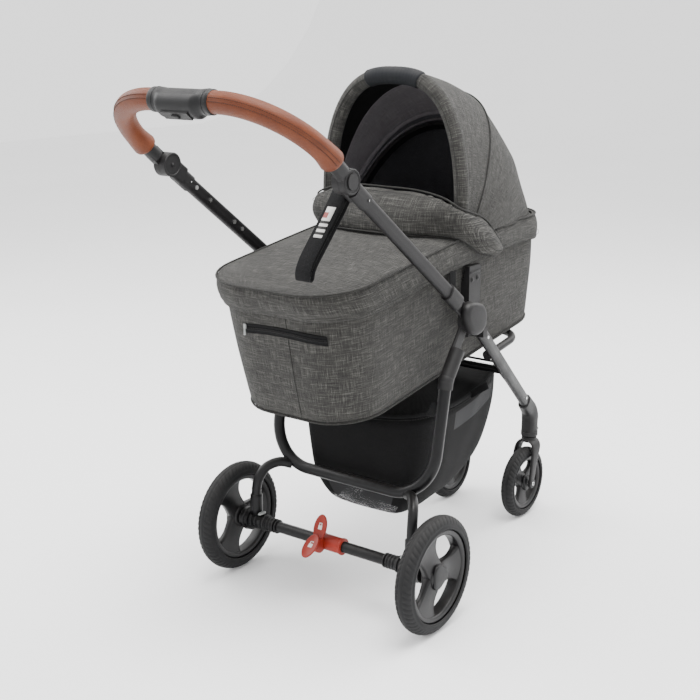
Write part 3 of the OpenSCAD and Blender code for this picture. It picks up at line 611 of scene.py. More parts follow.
# %% Finish the frame
wear([
    ("front_leg_right front_leg_left push_tube_right push_tube_left seat_bar handle_tube", GRAPHITE),
    ("caster_housings carrier_mounts tube_sockets handle_hubs handle_yokes tub_brackets rear_sockets",
     HOUSING),
    ("handle_button_right handle_button_left", HOUSING),
    ("cross_tube rear_loop wheel_legs axle_housings axle_bar", LOOP_BLACK),
    ("leg_screws push_rivets wheel_axles hood_pivots pedal_screw brake_pin_right brake_pin_left", STEEL),
    ("wheel_release_right wheel_release_left", RELEASE_GREY),
    ("hood_mid_bow caster_lock_right caster_lock_left hood_bow", BLACK),
    ("caster_fork_right caster_fork_left rear_rim_right rear_rim_left front_rim_right front_rim_left", RIM),
])
print("frame finished")

# %% [markdown]
# ## Carrycot outline
#
# The carrycot is a long bowl with round corners that widens and leans out at the foot. Every cloth piece on
# it uses the same outline: a rounded rectangle seen from above, at a share of the height, where 0 is the
# floor and 1 the rim. The rim and the hem climb towards the head and then run level, so their heights are
# functions of y.


# %% Outline helpers
def level_off(z, top, soft=10.0):
    return top - soft * math.log(1 + math.exp((top - z) / soft))


def rim_height(y):
    return level_off(742 + 0.142 * (y + 145), 803)


def hem_height(y):
    return level_off(686 + 0.142 * (y + 145), 751)


def outline(half, y0, y1, r, sides=14, corner=9):
    """Points (x, y) anticlockwise round a rectangle with round corners, from the middle of the foot end."""
    pts = []
    for k in range(sides // 2 + 1):
        pts.append(((half - r) * k / (sides // 2), y0))
    for sx, sy, start in ((1, 0, -90), (1, 1, 0), (-1, 1, 90), (-1, 0, 180)):
        cx, cy = sx * (half - r), (y1 - r) if sy else (y0 + r)
        for k in range(1, corner + 1):
            a = math.radians(start + 90 * k / corner)
            pts.append((cx + r * math.cos(a), cy + r * math.sin(a)))
        if start == -90 or start == 90:
            far = (y1 - r) if sy == 0 else (y0 + r)
            pts += [(cx + r * (1 if sx > 0 else -1), cy + (far - cy) * k / (2 * sides))
                    for k in range(1, 2 * sides)]
            pts.append((cx + r * (1 if sx > 0 else -1), far))
        if start == 0:
            pts += [(cx - 2 * cx * k / sides, y1) for k in range(1, sides + 1)]
        if start == 180:
            pts += [(cx + (0 - cx) * k / (sides // 2), y0) for k in range(1, sides // 2)]
    return pts


def cot_ring(t, grow=0.0, lift=0.0):
    """Ring of the carrycot's shell at t of its height, grown outwards and lifted."""
    half = 160 + 20 * t + grow
    y0, y1 = -133 - 66 * t - grow, 628 - 4 * t + grow
    ring = []
    for x, y in outline(half, y0, y1, max(30, 104 + 11 * t + grow)):
        floor_z = 451 + (y + 133) * math.tan(math.radians(8.1))
        top_z = rim_height(y) - 4
        ring.append(at(x, y, floor_z + (top_z - floor_z) * t + lift))
    return ring


def crumple(points, amount, size, seed=0.0):
    """The same points, pushed about by smooth noise, in metres."""
    shift = Vector((seed, seed * 0.7, -seed))
    return [p + noise.noise_vector((p + shift) / size) * amount for p in points]


print("outline corners", len(outline(160, -133, 628, 104)))

# %% [markdown]
# ## Carrycot shell
#
# The shell is cloth pulled over a stiff bowl: tight over the bottom edge, a little full between floor and
# hem, and lined inside. It is a loft that starts under the floor, turns up round the bottom edge, climbs to
# the rim and goes down again inside as the lining.

# %% Shell
cot_bm = bmesh.new()
outside = [cot_ring(0, -95, 1.5), cot_ring(0, -40, 1.0), cot_ring(0, -12, 1.0), cot_ring(0.004, -3, 2.0),
           cot_ring(0.02, 0.5)]
outside += [crumple(cot_ring(t, 0.5 + 3.5 * math.sin(math.pi * t)), 0.0016, 0.09)
            for t in (k / 16 for k in range(1, 15))]
outside += [cot_ring(0.95, 0), cot_ring(0.985, 0), cot_ring(0.992, -3), cot_ring(0.985, -7)]
loft(cot_bm, outside, closed=True)
inside = [cot_ring(t, -8 - 1.5 * math.sin(math.pi * t))
          for t in (0.985, 0.9, 0.75, 0.6, 0.45, 0.3, 0.15, 0.06)]
loft(cot_bm, inside + [cot_ring(0.045, -20), cot_ring(0.045, -95)], closed=True, material=1)
bmesh.ops.remove_doubles(cot_bm, verts=cot_bm.verts[:], dist=2e-5)
bmesh.ops.holes_fill(cot_bm, edges=[e for e in cot_bm.edges if e.is_boundary], sides=0)
cot = piece(cot_bm, "carrycot_cloth", "carrycot", [MELANGE, PALE_LINING], sub=1)
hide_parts("tub")
print("shell faces", len(cot.data.polygons))

# %% [markdown]
# The base of the cloth has a dark binding where it meets the floor board, and a seam climbs each corner.

# %% Shell seams
seam_bm = bmesh.new()
bind = cot_ring(0.012, 0.6)
tube(seam_bm, bind + [bind[0]], 0.0026, around=8, cap=False)
base = outline(160, -133, 628, 104)
for want in ((29, -133), (113, 582), (-113, 582)):
    index = min(range(len(base)), key=lambda i: (base[i][0] - want[0]) ** 2 + (base[i][1] - want[1]) ** 2)
    line = [cot_ring(t, 0.4 + 3.5 * math.sin(math.pi * t))[index]
            for t in (0.02 + 0.9 * k / 14 for k in range(15))]
    tube(seam_bm, line, 0.0011, around=6)
seams = piece(seam_bm, "carrycot_seams", "carrycot", [PIPING])
print("seam faces", len(seams.data.polygons))

# %% [markdown]
# ## Apron
#
# The apron is a cover that buttons over the foot end. It is crowned in the middle, edged with dark piping
# along the rim, and its skirt hangs round the whole carrycot, flaring a little and rippling along the hem.
# The top is lofted across, row by row, and the skirt is lofted down from the rim in rings.

# %% Skirt
def rim_ring(grow=0.0, lift=0.0):
    return [at(x, y, rim_height(y) + lift) for x,
            y in outline(182 + grow, -215 - grow, 628 + grow, 115 + grow)]


def hem_ring(grow=0.0, lift=0.0):
    pts = []
    for x, y in outline(191 + grow, -194 - grow, 634 + grow, 118 + grow):
        ripple = 1.6 * math.sin(x / 17.0) * math.cos(y / 23.0) + 1.3 * math.sin((x + y) / 31.0)
        ends = min(1.0, max(0.0, (y + 120) / 300))
        pts.append(at(x * (1 + 0.006 * ripple * ends), y + ripple * 0.6, hem_height(y) + lift + 0.5 * ripple))
    return pts


skirt_bm = bmesh.new()
top_ring, low_ring = rim_ring(), hem_ring()
skirt_rings = [rim_ring(-6, 0.5), rim_ring(-3, 2.0)]
for k in range(13):
    s = k / 12
    puff = 6.5 * math.sin(math.pi * min(1, s * 1.08)) ** 0.8
    ring = [a.lerp(b, s) + (Vector((a.x, a.y - 0.05, 0)).normalized() * puff / 1000) for a,
            b in zip(top_ring, low_ring)]
    skirt_rings.append(crumple(ring, 0.0026 * s, 0.055, 2.0))
hem_in = [p + Vector((-p.x, -(p.y - 0.05), 0)).normalized() * 0.004 for p in skirt_rings[-1]]
skirt_rings += [[p + Vector((0, 0, -0.0025)) for p in hem_in], [p + Vector((0, 0, 0.006)) for p in hem_in]]
skirt_rings.append([a.lerp(b, 0.6) + Vector((-a.x, -(a.y - 0.05), 0)).normalized() * 0.004 for a,
                    b in zip(top_ring, low_ring)])
loft(skirt_bm, skirt_rings, closed=True)
skirt = piece(skirt_bm, "apron_skirt", "carrycot", [MELANGE], sub=1)
print("skirt faces", len(skirt.data.polygons))


# %% Apron top
APRON_END = 204.0


def half_width_at(y, grow=0.0):
    half, y0, r = 182 + grow, -215 - grow, 115 + grow
    if y >= y0 + r:
        return half
    return half - r + math.sqrt(max(0.0, r * r - (y0 + r - y) ** 2))


def apron_point(s, y, lift=0.0):
    half = half_width_at(y, -1)
    inward = min(1.0, (y + 215) / 150)
    crown = 15 * (1 - abs(s) ** 2.6) * inward ** 0.6
    sag = 3 * math.sin(math.pi * (y + 215) / 419) * (1 - s * s)
    return at(half * s, y, rim_height(y) + 1 + crown - sag + lift)


apron_bm = bmesh.new()
rows = [-214.5 + 60 * (k / 12) ** 2 for k in range(12)] + [-154.5 + (APRON_END + 154.5) * k / 34
                                                           for k in range(35)]
apron_rows = [crumple([apron_point(2 * i / 44 - 1, y) for i in range(45)], 0.0022, 0.11, 5.0) for y in rows]
loft(apron_bm, apron_rows)
apron = piece(apron_bm, "apron_top", "carrycot", [MELANGE], sub=1, thick=0.003)
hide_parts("apron")
pipe_bm = bmesh.new()
edge_line = rim_ring(1.5, 1.0)
tube(pipe_bm, edge_line + [edge_line[0]], 0.0024, around=8, cap=False)
hem_line = [p + Vector((0, 0, 0.009)) for p in hem_ring(4.6)]
stitch_count = stitches(pipe_bm, hem_line, 0.0052, 0.0007, 1)
piece(pipe_bm, "apron_piping", "carrycot", [PIPING, GREY_THREAD])
print("apron faces", len(apron.data.polygons), "hem stitches", stitch_count)

# %% [markdown]
# ## Wind flap
#
# The flap stands up at the apron's end to keep wind off the baby. It is padded, so it gets the cushion
# treatment: a plain closed shape is remeshed evenly and blown up a little by the cloth solver, with a cap
# on how far it may swell. The same helper makes the mattress.


# %% Padding
def swell(bm, name, voxel, pressure, cap):
    """Closed mesh, remeshed evenly and swollen under pressure, moving no point further than cap."""
    mesh = bpy.data.meshes.new(name)
    bm.to_mesh(mesh)
    bm.free()
    made = bpy.data.objects.new(name, mesh)
    bpy.context.scene.collection.objects.link(made)
    even = made.modifiers.new("even", "REMESH")
    even.mode = "VOXEL"
    even.voxel_size = voxel
    graph = bpy.context.evaluated_depsgraph_get()
    made.data = bpy.data.meshes.new_from_object(made.evaluated_get(graph))
    made.modifiers.clear()
    start = [v.co.copy() for v in made.data.vertices]
    cloth = made.modifiers.new("stuffing", "CLOTH")
    cloth.settings.quality = 5
    cloth.settings.tension_stiffness = 30
    cloth.settings.compression_stiffness = 30
    cloth.settings.bending_stiffness = 2
    cloth.settings.use_pressure = True
    cloth.settings.uniform_pressure_force = pressure
    cloth.settings.effector_weights.gravity = 0.0
    for frame_number in range(1, 21):
        bpy.context.scene.frame_set(frame_number)
    graph = bpy.context.evaluated_depsgraph_get()
    ended = made.evaluated_get(graph).to_mesh()
    swollen = [v.co.copy() for v in ended.vertices]
    made.modifiers.clear()
    bpy.context.scene.frame_set(1)
    for v, a, b in zip(made.data.vertices, start, swollen):
        move = b - a
        v.co = a + move * min(1.0, cap / max(move.length, 1e-9))
    return made


def finish_soft(made, body, finish):
    made.data.materials.clear()
    made.data.materials.append(finish)
    for face in made.data.polygons:
        face.use_smooth = True
    smoother = made.modifiers.new("smooth", "SUBSURF")
    smoother.levels = 1
    smoother.render_levels = 1
    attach(made, body)
    return made


print("padding helper ready")


# %% Smooth paths
def through(points, per_span=6):
    """Points on one smooth curve through the given ones."""
    pts = [Vector(p) for p in points]
    ends = [pts[0] * 2 - pts[1]] + pts + [pts[-1] * 2 - pts[-2]]
    made = []
    for a, b, c, d in zip(ends, ends[1:], ends[2:], ends[3:]):
        for k in range(per_span):
            t = k / per_span
            made.append(0.5 * ((2 * b) + (c - a) * t + (2 * a - 5 * b + 4 * c - d) * t * t
                               + (3 * b - a - 3 * c + d) * t ** 3))
    return made + [pts[-1]]


# %% [markdown]
# The flap's lower seam crosses the apron and then turns down over the rim on each side. Its top edge stands
# up in the middle and falls to the same corner. Two smooth lines hold these, and the pad is lofted between
# them.

# %% Flap
root_half = [(0, 132, 802), (85, 146, 800), (150, 184, 797), (188, 214, 789), (202, 262, 757),
             (202, 334, 739)]
top_half = [(0, 192, 889), (85, 195, 887), (150, 199, 875), (190, 206, 855), (202, 285, 824), (203, 350, 764)]


def both_sides(half):
    return through([at(-x, y, z) for x, y, z in reversed(half[1:])] + [at(*p) for p in half], 7)


root_line, top_line = both_sides(root_half), both_sides(top_half)


def flap_ring(i, full=1.0):
    a, b = root_line[i], top_line[i]
    ahead, behind = min(i + 1, len(root_line) - 1), max(i - 1, 0)
    along = (root_line[ahead] + top_line[ahead] - root_line[behind] - top_line[behind]).normalized()
    out = along.cross(b - a).normalized()
    front, back = [], []
    for k in range(15):
        u = k / 14
        fat = 0.0062 * full * (0.35 + 0.65 * math.sin(math.pi * (0.06 + 0.88 * u)) ** 0.6)
        spine = a.lerp(b, u) + out * (0.010 * math.sin(math.pi * u))
        front.append(spine + out * fat)
        back.append(spine - out * fat)
    return front + back[::-1]


flap_bm = bmesh.new()
last = len(root_line) - 1
loft(flap_bm, [flap_ring(i, min(1.0, 0.35 + 0.3 * min(i, last - i))) for i in range(last + 1)], closed=True,
     cap=True)
flap = finish_soft(swell(flap_bm, "wind_flap_pad", 0.005, 4.0, 0.006), "carrycot", MELANGE_FLAP)
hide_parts("wind_flap")
trim_bm = bmesh.new()
rings_now = [flap_ring(i) for i in range(last + 1)]
ridge = [(r[14] + r[15]) / 2 + (r[14] - r[0]).normalized() * 0.003 for r in rings_now]
tube(trim_bm, ridge, 0.0021, around=8)
foot_seam = [(r[0] + r[29]) / 2 for r in rings_now]
tube(trim_bm, foot_seam, 0.0020, around=8)
stitches(trim_bm, [r[12] + (r[12] - r[17]).normalized() * 0.0042 for r in rings_now], 0.0052, 0.0008, 1)
piece(trim_bm, "wind_flap_trim", "carrycot", [PIPING, GREY_THREAD])
print("flap faces", len(flap.data.polygons))

# %% [markdown]
# ## Mattress
#
# The mattress lies on the floor of the carrycot. It is a flat pad with a round edge, swollen a little like
# the flap.

# %% Mattress
bed_bm = bmesh.new()
bed_rings = [cot_ring(0.052, -100), cot_ring(0.052, -24), cot_ring(0.07, -15), cot_ring(0.12, -12),
             cot_ring(0.175, -15),
             cot_ring(0.195, -26), cot_ring(0.2, -100)]
loft(bed_bm, bed_rings, closed=True, cap=True)
bed = finish_soft(swell(bed_bm, "mattress_pad", 0.008, 3.0, 0.005), "carrycot", MATTRESS)
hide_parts("mattress")
print("mattress faces", len(bed.data.polygons))

# %% [markdown]
# ## Hood
#
# The hood is cloth stretched over three bows that turn about one pivot on each side. Between bows cloth
# pulls in a little, so the loft swings the bows' outline about the pivot and lets it sink midway between
# them. The canopy crosses the folding joint and runs from the carrycot to the front bow, attached to neither.


# %% Hood outline
HOOD_Y, HOOD_Z = 227.0, 752.0
BOWS = (4.0, 33.0, 61.0, 90.0)


def hood_point(a, t, inset=0.0):
    """Point of the hood at bow angle a above the rim and t across it, -90 at the left and 90 at the right."""
    low = max(b for b in BOWS if b <= a + 1e-6)
    high = min(b for b in BOWS if b >= a - 1e-6)
    share = (a - low) / (high - low) if high > low else 0.0
    over = math.radians(90 - abs(t))
    square = max(0.0, 1 - a / 50) ** 1.3
    x = math.copysign((188 - inset) * math.cos(over) ** (0.75 - 0.36 * square), t) if t else 0.0
    r = 95 + (386 - 95) * math.sin(over) ** (0.8 - 0.34 * square)
    sink = 7.0 * max(0.0, math.sin(math.pi * share)) ** 0.8 * math.sin(over) ** 0.3
    r -= inset + sink
    return at(x, HOOD_Y + r * math.cos(math.radians(a)), HOOD_Z + r * math.sin(math.radians(a)))


def hood_row(a, inset=0.0, root=45.0, count=56):
    """One row across the hood: up the left side from near the pivot, over the top and down the right side."""
    over = [hood_point(a, -90 + 180 * k / count, inset) for k in range(count + 1)]
    sides = []
    for k in range(5):
        r = root + (95 - inset - root) * k / 5
        sides.append(at(-(188 - inset), HOOD_Y + r * math.cos(math.radians(a)),
                        HOOD_Z + r * math.sin(math.radians(a))))
    row = sides + over + [Vector((-p.x, p.y, p.z)) for p in reversed(sides)]
    return [Vector((p.x, p.y, max(p.z, rim_height((p.y - AXLE_Y) * 1000) / 1000 - 0.004))) for p in row]


def hang_on_bows(made):
    """Bake the object's transform into its mesh; the piece follows neither the carrycot nor the front bow."""
    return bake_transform(made)


canopy_bm = bmesh.new()
angles = [4 + 86 * k / 36 for k in range(37)]
rows = [crumple(crumple(hood_row(a), 0.0036, 0.13, 9.0), 0.0014, 0.045, 3.0) for a in angles]
loft(canopy_bm, rows)
canopy = piece(canopy_bm, "hood_canopy", None, [MELANGE], sub=1, thick=0.002)
hang_on_bows(canopy)
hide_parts("hood_rear_panel", "hood_mid_panel", "hood_front_panel")
print("canopy faces", len(canopy.data.polygons))

# %% [markdown]
# A corded seam runs over the canopy where it meets the third bow. It is a thin tube along one row of the
# canopy.

# %% Canopy seams
ribs_bm = bmesh.new()
tube(ribs_bm, crumple(hood_row(BOWS[2], -1.0, root=80), 0.0036, 0.13, 9.0), 0.0017, around=8)
ribs = piece(ribs_bm, "hood_seams", None, [PIPING])
hang_on_bows(ribs)
print("rib faces", len(ribs.data.polygons))

# %% [markdown]
# Inside, the lining has three parts: a black band behind the front roll, a taupe panel, and grey mesh cloth
# at the back. Each is its own strip of loft, a little inside the canopy.

# %% Lining
def lining_strip(name, a0, a1, finish, inset, rows=14):
    bm = bmesh.new()
    loft(bm,
         [crumple(hood_row(a0 + (a1 - a0) * k / rows, inset), 0.0015, 0.08, 4.0) for k in range(rows + 1)])
    return hang_on_bows(piece(bm, name, None, [finish], sub=1, thick=0.0012))


lining_strip("hood_lining_front", 71, 88, BLACK_CLOTH, 7)
lining_strip("hood_lining_middle", 50, 71, LINING, 7)
lining_strip("hood_lining_mesh", 8, 50, HOOD_MESH, 8, 24)
band_bm = bmesh.new()
for a, inset, thickness, around, flat in ((50, 11, 0.0048, 12, 0.6), (46, 10, 0.0030, 10, 1.0)):
    tube(band_bm, crumple(hood_row(a, inset, root=60), 0.0015, 0.08, 4.0), thickness, around=around,
         flat=flat)
hang_on_bows(piece(band_bm, "hood_lining_band", None, [LINING], sub=1))
print("lining strips made")

# %% [markdown]
# The front bow wears a fat padded roll of melange cloth. It is a tube swept along the bow's outline,
# slightly flat, with a seam on each side. A foam grip is wrapped round the top of it for carrying.

# %% Front roll
roll_bm = bmesh.new()
roll_path = [p + Vector((0, 0.004, 0)) for p in hood_row(90, 13.0, root=30, count=72)]
tube(roll_bm, roll_path, lambda s: 0.0165 * min(1.0, 0.55 + 6 * min(s, 1 - s)), around=20)
bmesh.ops.smooth_vert(roll_bm, verts=roll_bm.verts[:], factor=0.3, use_axis_x=True, use_axis_y=True,
                      use_axis_z=True)
roll = piece(roll_bm, "hood_front_roll", "hood_front", [MELANGE], sub=1)
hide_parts("hood_bow")
roll_seam_bm = bmesh.new()
for shift in (Vector((0, -0.0165, 0)), Vector((0, 0.0165, 0))):
    tube(roll_seam_bm, [p + shift for p in roll_path[4:-4]], 0.0011, around=6)
piece(roll_seam_bm, "hood_roll_seams", "hood_front", [PIPING])
print("roll faces", len(roll.data.polygons))

# %% Carry grip
foam_bm = bmesh.new()
top_path = [hood_point(90, t, 13.0) + Vector((0, 0.004, 0)) for t in [-17 + 34 * k / 48 for k in range(49)]]
tube(foam_bm, top_path, lambda s: 0.0192 * min(1.0, 0.86 + 3.0 * min(s, 1 - s)) + 0.0004 * math.cos(s * 190),
     around=20)
foam = piece(foam_bm, "carry_grip_foam", "hood_front", [FOAM], sub=1)
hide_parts("carry_grip")
print("foam faces", len(foam.data.polygons))

# %% [markdown]
# ## Tyres
#
# A tyre's section is drawn once as a short chain of points from seat to seat, and spun round the axle. Then
# the tread is cut by moving points inwards wherever a groove passes: two grooves run round the middle, and
# slanting ones cross each shoulder. The sidewall stays smooth, with a raised ring.


# %% Tyre
def make_tyre(name, node_name, body, radius, width, seat, blocks):
    low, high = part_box(node_name)
    centre = (low + high) / 2
    bm = bmesh.new()
    half = width / 2
    section = [(seat, -half + 2)]
    section += [(seat + (radius - half - seat) * k / 5,
                 -half + (1.2 if k in (0, 5) else 0.2) - (0.9 if k == 2 else 0)) for k in range(1, 6)]
    section += [(radius - half + half * math.sin(math.radians(a)) ** 0.85, -half * math.cos(math.radians(a)))
                for a in range(8, 173, 6)]
    section += [(r, -z) for r, z in reversed(section[:6])]
    spin_section(bm, [(r / 1000, x / 1000) for r, x in section], Vector(), blocks * 6)
    for v in bm.verts:
        r, x = math.hypot(v.co.y, v.co.z), v.co.x * 1000
        share = abs(x) / half
        if r * 1000 < radius - half * 0.62 or share > 0.93:
            continue
        angle = math.atan2(v.co.y, v.co.z)
        phase = (angle * blocks / (2 * math.pi) + 0.055 * x * (1 if x > 0 else -1)) % 1.0
        cut = 0.0
        if share > 0.30:
            cut = 2.1 * max(0.0, 1 - (abs(phase - 0.5) / 0.17) ** 4) * min(1.0, (share - 0.30) * 9)
        if abs(share - 0.24) < 0.055:
            cut = max(cut, 1.6)
        v.co.y *= 1 - cut / 1000 / r
        v.co.z *= 1 - cut / 1000 / r
    bmesh.ops.translate(bm, verts=bm.verts[:], vec=centre)
    made = piece(bm, name, body, [RUBBER])
    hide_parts(node_name)
    return made


for side in ("right", "left"):
    rear = make_tyre("tyre_rear_" + side, "rear_tyre_" + side, "rear_wheel_" + side, 127, 40, 100, 60)
    front = make_tyre("tyre_front_" + side, "front_tyre_" + side, "front_wheel_" + side, 91, 34, 70, 46)
    print(side, "tyre faces", len(rear.data.polygons), len(front.data.polygons))

# %% [markdown]
# ## Rims
#
# Each rim is a moulded wheel with three broad spokes that swell out of the hub. A spun barrel carries the
# tyre, with a thin lip. The spokes are lofted from the hub to the barrel: wide at both ends, narrow
# between, and crowned. A cap with three soft corners covers the axle.


# %% Rim
def make_rim(name, node_name, body, seat, width, hub, bore, outward, spin_at):
    low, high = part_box(node_name)
    centre = (low + high) / 2
    bm = bmesh.new()
    w = width / 2
    edge = [(12, w - 3), (9, w - 1.2), (4, w), (0.6, w - 0.4)]
    barrel = [(seat - d, x) for d, x in edge] + [(seat - d, -x) for d, x in edge[::-1]]
    barrel += [(seat - 13, -w + 6), (seat - 13, w - 6)]
    hub_section = [(bore, w - 1), (hub - 3, w - 1), (hub, w - 4), (hub, -w + 4), (hub - 3, -w + 1),
                   (bore, -w + 1)]
    for section, steps in ((barrel, 96), (hub_section, 64)):
        spin_section(bm, [(r / 1000, x / 1000) for r, x in section], Vector(), steps, closed=True)
    for k in range(3):
        turn = Matrix.Rotation(spin_at + k * 2 * math.pi / 3, 3, "X")
        rings = []
        for i in range(15):
            s = i / 14
            r = hub - 6 + (seat - 8 - hub + 6) * s
            fan = math.radians(66 - 62 * s + 52 * s * s + 12 * s ** 4)
            spread = fan * hub / max(r, 1) * 0.95 + math.radians(9) * s
            deep = (w - 3) * (1 - 0.30 * math.sin(math.pi * s))
            crown = 2.5
            ring = []
            for j, face_side in [(j, 1) for j in range(17)] + [(j, -1) for j in range(16, -1, -1)]:
                u = 2 * j / 16 - 1
                x = face_side * (deep - crown * u * u)
                ring.append(turn @ Vector((x, r * math.sin(spread * u), r * math.cos(spread * u))) / 1000)
            rings.append(ring)
        loft(bm, rings, closed=True, cap=False)
    bmesh.ops.translate(bm, verts=bm.verts[:], vec=centre)
    made = piece(bm, name, body, [RIM])
    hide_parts(node_name)
    cap_bm = bmesh.new()
    cap_rings = []
    for grow, x in ((1.0, w - 4), (1.0, w + 0.0), (0.93, w + 2.0), (0.80, w + 2.8), (0.35, w + 3.2),
                    (0.05, w + 3.2)):
        ring = []
        for a in turns(48):
            r = hub * 0.98 * grow * (1 + 0.13 * math.cos(3 * (a - spin_at)))
            ring.append(centre
                        + Vector((outward * x / 1000, -r * math.sin(a) / 1000, r * math.cos(a) / 1000)))
        cap_rings.append(ring)
    loft(cap_bm, cap_rings, closed=True, cap=True)
    piece(cap_bm, name + "_cap", body, [BLACK])
    return made


for side, out in (("right", 1), ("left", -1)):
    rear = make_rim("rim_rear_" + side, "rear_rim_" + side, "rear_wheel_" + side, 100, 32, 27, 6.05, out, 0.5)
    front = make_rim("rim_front_" + side, "front_rim_" + side, "front_wheel_" + side, 70, 28, 20, 4.05, out,
                     0.9)
    print(side, "rim faces", len(rear.data.polygons), len(front.data.polygons))

# %% [markdown]
# ## Handle
#
# The handle is one bent tube. Two tan leather covers are stitched round it, with a double seam along the
# outside and a flared end at each hinge. The covers are swept along the tube's path, in the handle's own
# plane: out to the side, along its reach, and up from it.

# %% Handle plane
hub_low, hub_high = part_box("handle_button_right")
HUB = Vector((0, (hub_low.y + hub_high.y) / 2, (hub_low.z + hub_high.z) / 2))
HANDLE_SLOPE = math.radians(39)
REACH = Vector((0, -math.cos(HANDLE_SLOPE), math.sin(HANDLE_SLOPE)))
UP = Vector((0, math.sin(HANDLE_SLOPE), math.cos(HANDLE_SLOPE)))
HALF_SPAN, BAR_REACH, BEND = 229, 224, 150
GRIP_RADIUS = 0.0205


def on_handle(x, reach, up=0.0):
    return HUB + Vector((x / 1000, 0, 0)) + REACH * (reach / 1000) + UP * (up / 1000)


def in_plane(place, along, above):
    """The turn and move that takes Y to one direction and Z to the other, at a place."""
    return Matrix.Translation(place) @ Matrix((
        (1, 0, 0, 0), (0, along.y, above.y, 0), (0, along.z, above.z, 0), (0, 0, 0, 1)))


def grip_path(s):
    """Middles of the cover, and the direction out of the bend at each."""
    pts = [(on_handle(s * HALF_SPAN, r), Vector((s, 0, 0))) for r in (61, 64, 68, 72)]
    for k in range(1, 30):
        a = math.radians(90 * k / 30)
        x = HALF_SPAN - BEND + BEND * math.cos(a)
        pts.append((on_handle(s * x, BAR_REACH - BEND + BEND * math.sin(a)),
                    Vector((s * math.cos(a), 0, 0)) + REACH * math.sin(a)))
    pts += [(on_handle(s * x, BAR_REACH), REACH.copy()) for x in (79, 76, 73, 70.5)]
    return pts


def hinge_flare(share):
    """How much wider the cover is near the hinge, at a share of its length."""
    return 1.0 + 0.14 * math.exp(-((share - 0.055) / 0.07) ** 2)


print("handle hinge at", tuple(round(c, 3) for c in HUB))

# %% Leather covers
for side, s in (("right", 1), ("left", -1)):
    line = grip_path(s)
    rings = []
    for i, (middle, out) in enumerate(line):
        share = i / (len(line) - 1)
        flare = hinge_flare(share) - 0.16 * math.exp(-(share / 0.02) ** 2)
        ring = []
        for a in turns(40):
            seam = 0.0011 * math.exp(-(((math.degrees(a) + 180) % 360 - 180 + 22) / 5.0) ** 2)
            r = GRIP_RADIUS * flare * (1 + 0.03 * math.cos(2 * a)) - seam
            ring.append(middle + (out * math.cos(a) + UP * math.sin(a)) * r)
        rings.append(ring)
    grip_bm = bmesh.new()
    loft(grip_bm, rings, closed=True, cap=True)
    for degrees in (-12, -32):
        a = math.radians(degrees)
        row = []
        for i, (middle, out) in enumerate(line):
            r = GRIP_RADIUS * hinge_flare(i / (len(line) - 1)) + 0.0005
            row.append(middle + (out * math.cos(a) + UP * math.sin(a)) * r)
        stitches(grip_bm, row[3:-1], 0.0042, 0.0011, 1)
    a = math.radians(-22)
    groove = [m + (o * math.cos(a) + UP * math.sin(a)) * 0.0199 for m, o in line[3:-1]]
    tube(grip_bm, groove, 0.0006, around=6, material=1)
    grip = piece(grip_bm, "leather_grip_" + side, "handle", [LEATHER, THREAD])
    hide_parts("grip_" + side)
    print(side, "grip faces", len(grip.data.polygons))

# %% [markdown]
# The middle of the handle is one smooth black case, round at its ends and fuller beneath, where the fold
# trigger comes out. It is lofted from rings along the bar; the thumb button is a small bevelled block.

# %% Handle case
case_bm = bmesh.new()
rings = []
for x in [-72, -71.6, -70] + [-66 + 4 * k for k in range(34)] + [70, 71.6, 72]:
    belly = min(1.0, max(0.0, (54 - abs(x)) / 14))
    belly = belly * belly * (3 - 2 * belly)
    lip = 22.6 if abs(x) < 71 else 21.6 if abs(x) < 71.8 else 20.6
    ring = []
    for a in turns(48):
        drop = max(0.0, -math.sin(a)) ** 0.7
        r = (lip - 1.2 * belly) + 9.5 * belly * drop
        ring.append(on_handle(x, BAR_REACH + r * math.cos(a) * (1.0 + 0.10 * belly * drop), r * math.sin(a)))
    rings.append(ring)
loft(case_bm, rings, closed=True, cap=True)
for s in (1, -1):
    bead = [on_handle(s * 60, BAR_REACH + 22.6 * math.cos(a), 22.6 * math.sin(a)) for a in turns(48)]
    tube(case_bm, bead + [bead[0]], 0.0007, around=8, cap=False)
case = piece(case_bm, "handle_case", "handle", [BLACK])
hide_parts("handle_housing")
button_bm = bmesh.new()
bevelled_box(button_bm, Vector((-0.008, -0.005, -0.0365)), Vector((0.008, 0.005, -0.031)), 0.0018)
seat_button = in_plane(on_handle(0, BAR_REACH), REACH, UP)
bmesh.ops.transform(button_bm, matrix=seat_button, verts=button_bm.verts[:])
piece(button_bm, "fold_trigger_button", "fold_trigger", [BLACK])
wear([("fold_trigger", HOUSING)])
print("case faces", len(case.data.polygons))

# %% [markdown]
# Each tilting hinge is a pair of round discs. A raised rim and a sunk screw on every face give them their
# moulded look. Screws are the same small shape everywhere: a domed head with a six-sided socket.


# %% Screws and hub faces
def screw(bm, centre, radius, s=1, socket=1):
    """A screw head that faces right for s = 1 and left for s = -1."""
    place = Matrix.Translation(centre) @ Matrix.Rotation(math.copysign(math.pi / 2, s), 4, "Y")
    dome = bmesh.ops.create_cone(bm, cap_ends=True, segments=24, radius1=radius, radius2=radius * 0.72,
                                 depth=radius * 0.5, matrix=place)["verts"]
    for face in {f for v in dome for f in v.link_faces}:
        face.material_index = 0
    hexagon = bmesh.ops.create_cone(bm, cap_ends=True, segments=6, radius1=radius * 0.42,
                                    radius2=radius * 0.42, depth=radius * 0.1,
                                    matrix=place @ Matrix.Translation((0, 0, radius * 0.26)))["verts"]
    for face in {f for v in hexagon for f in v.link_faces}:
        face.material_index = socket


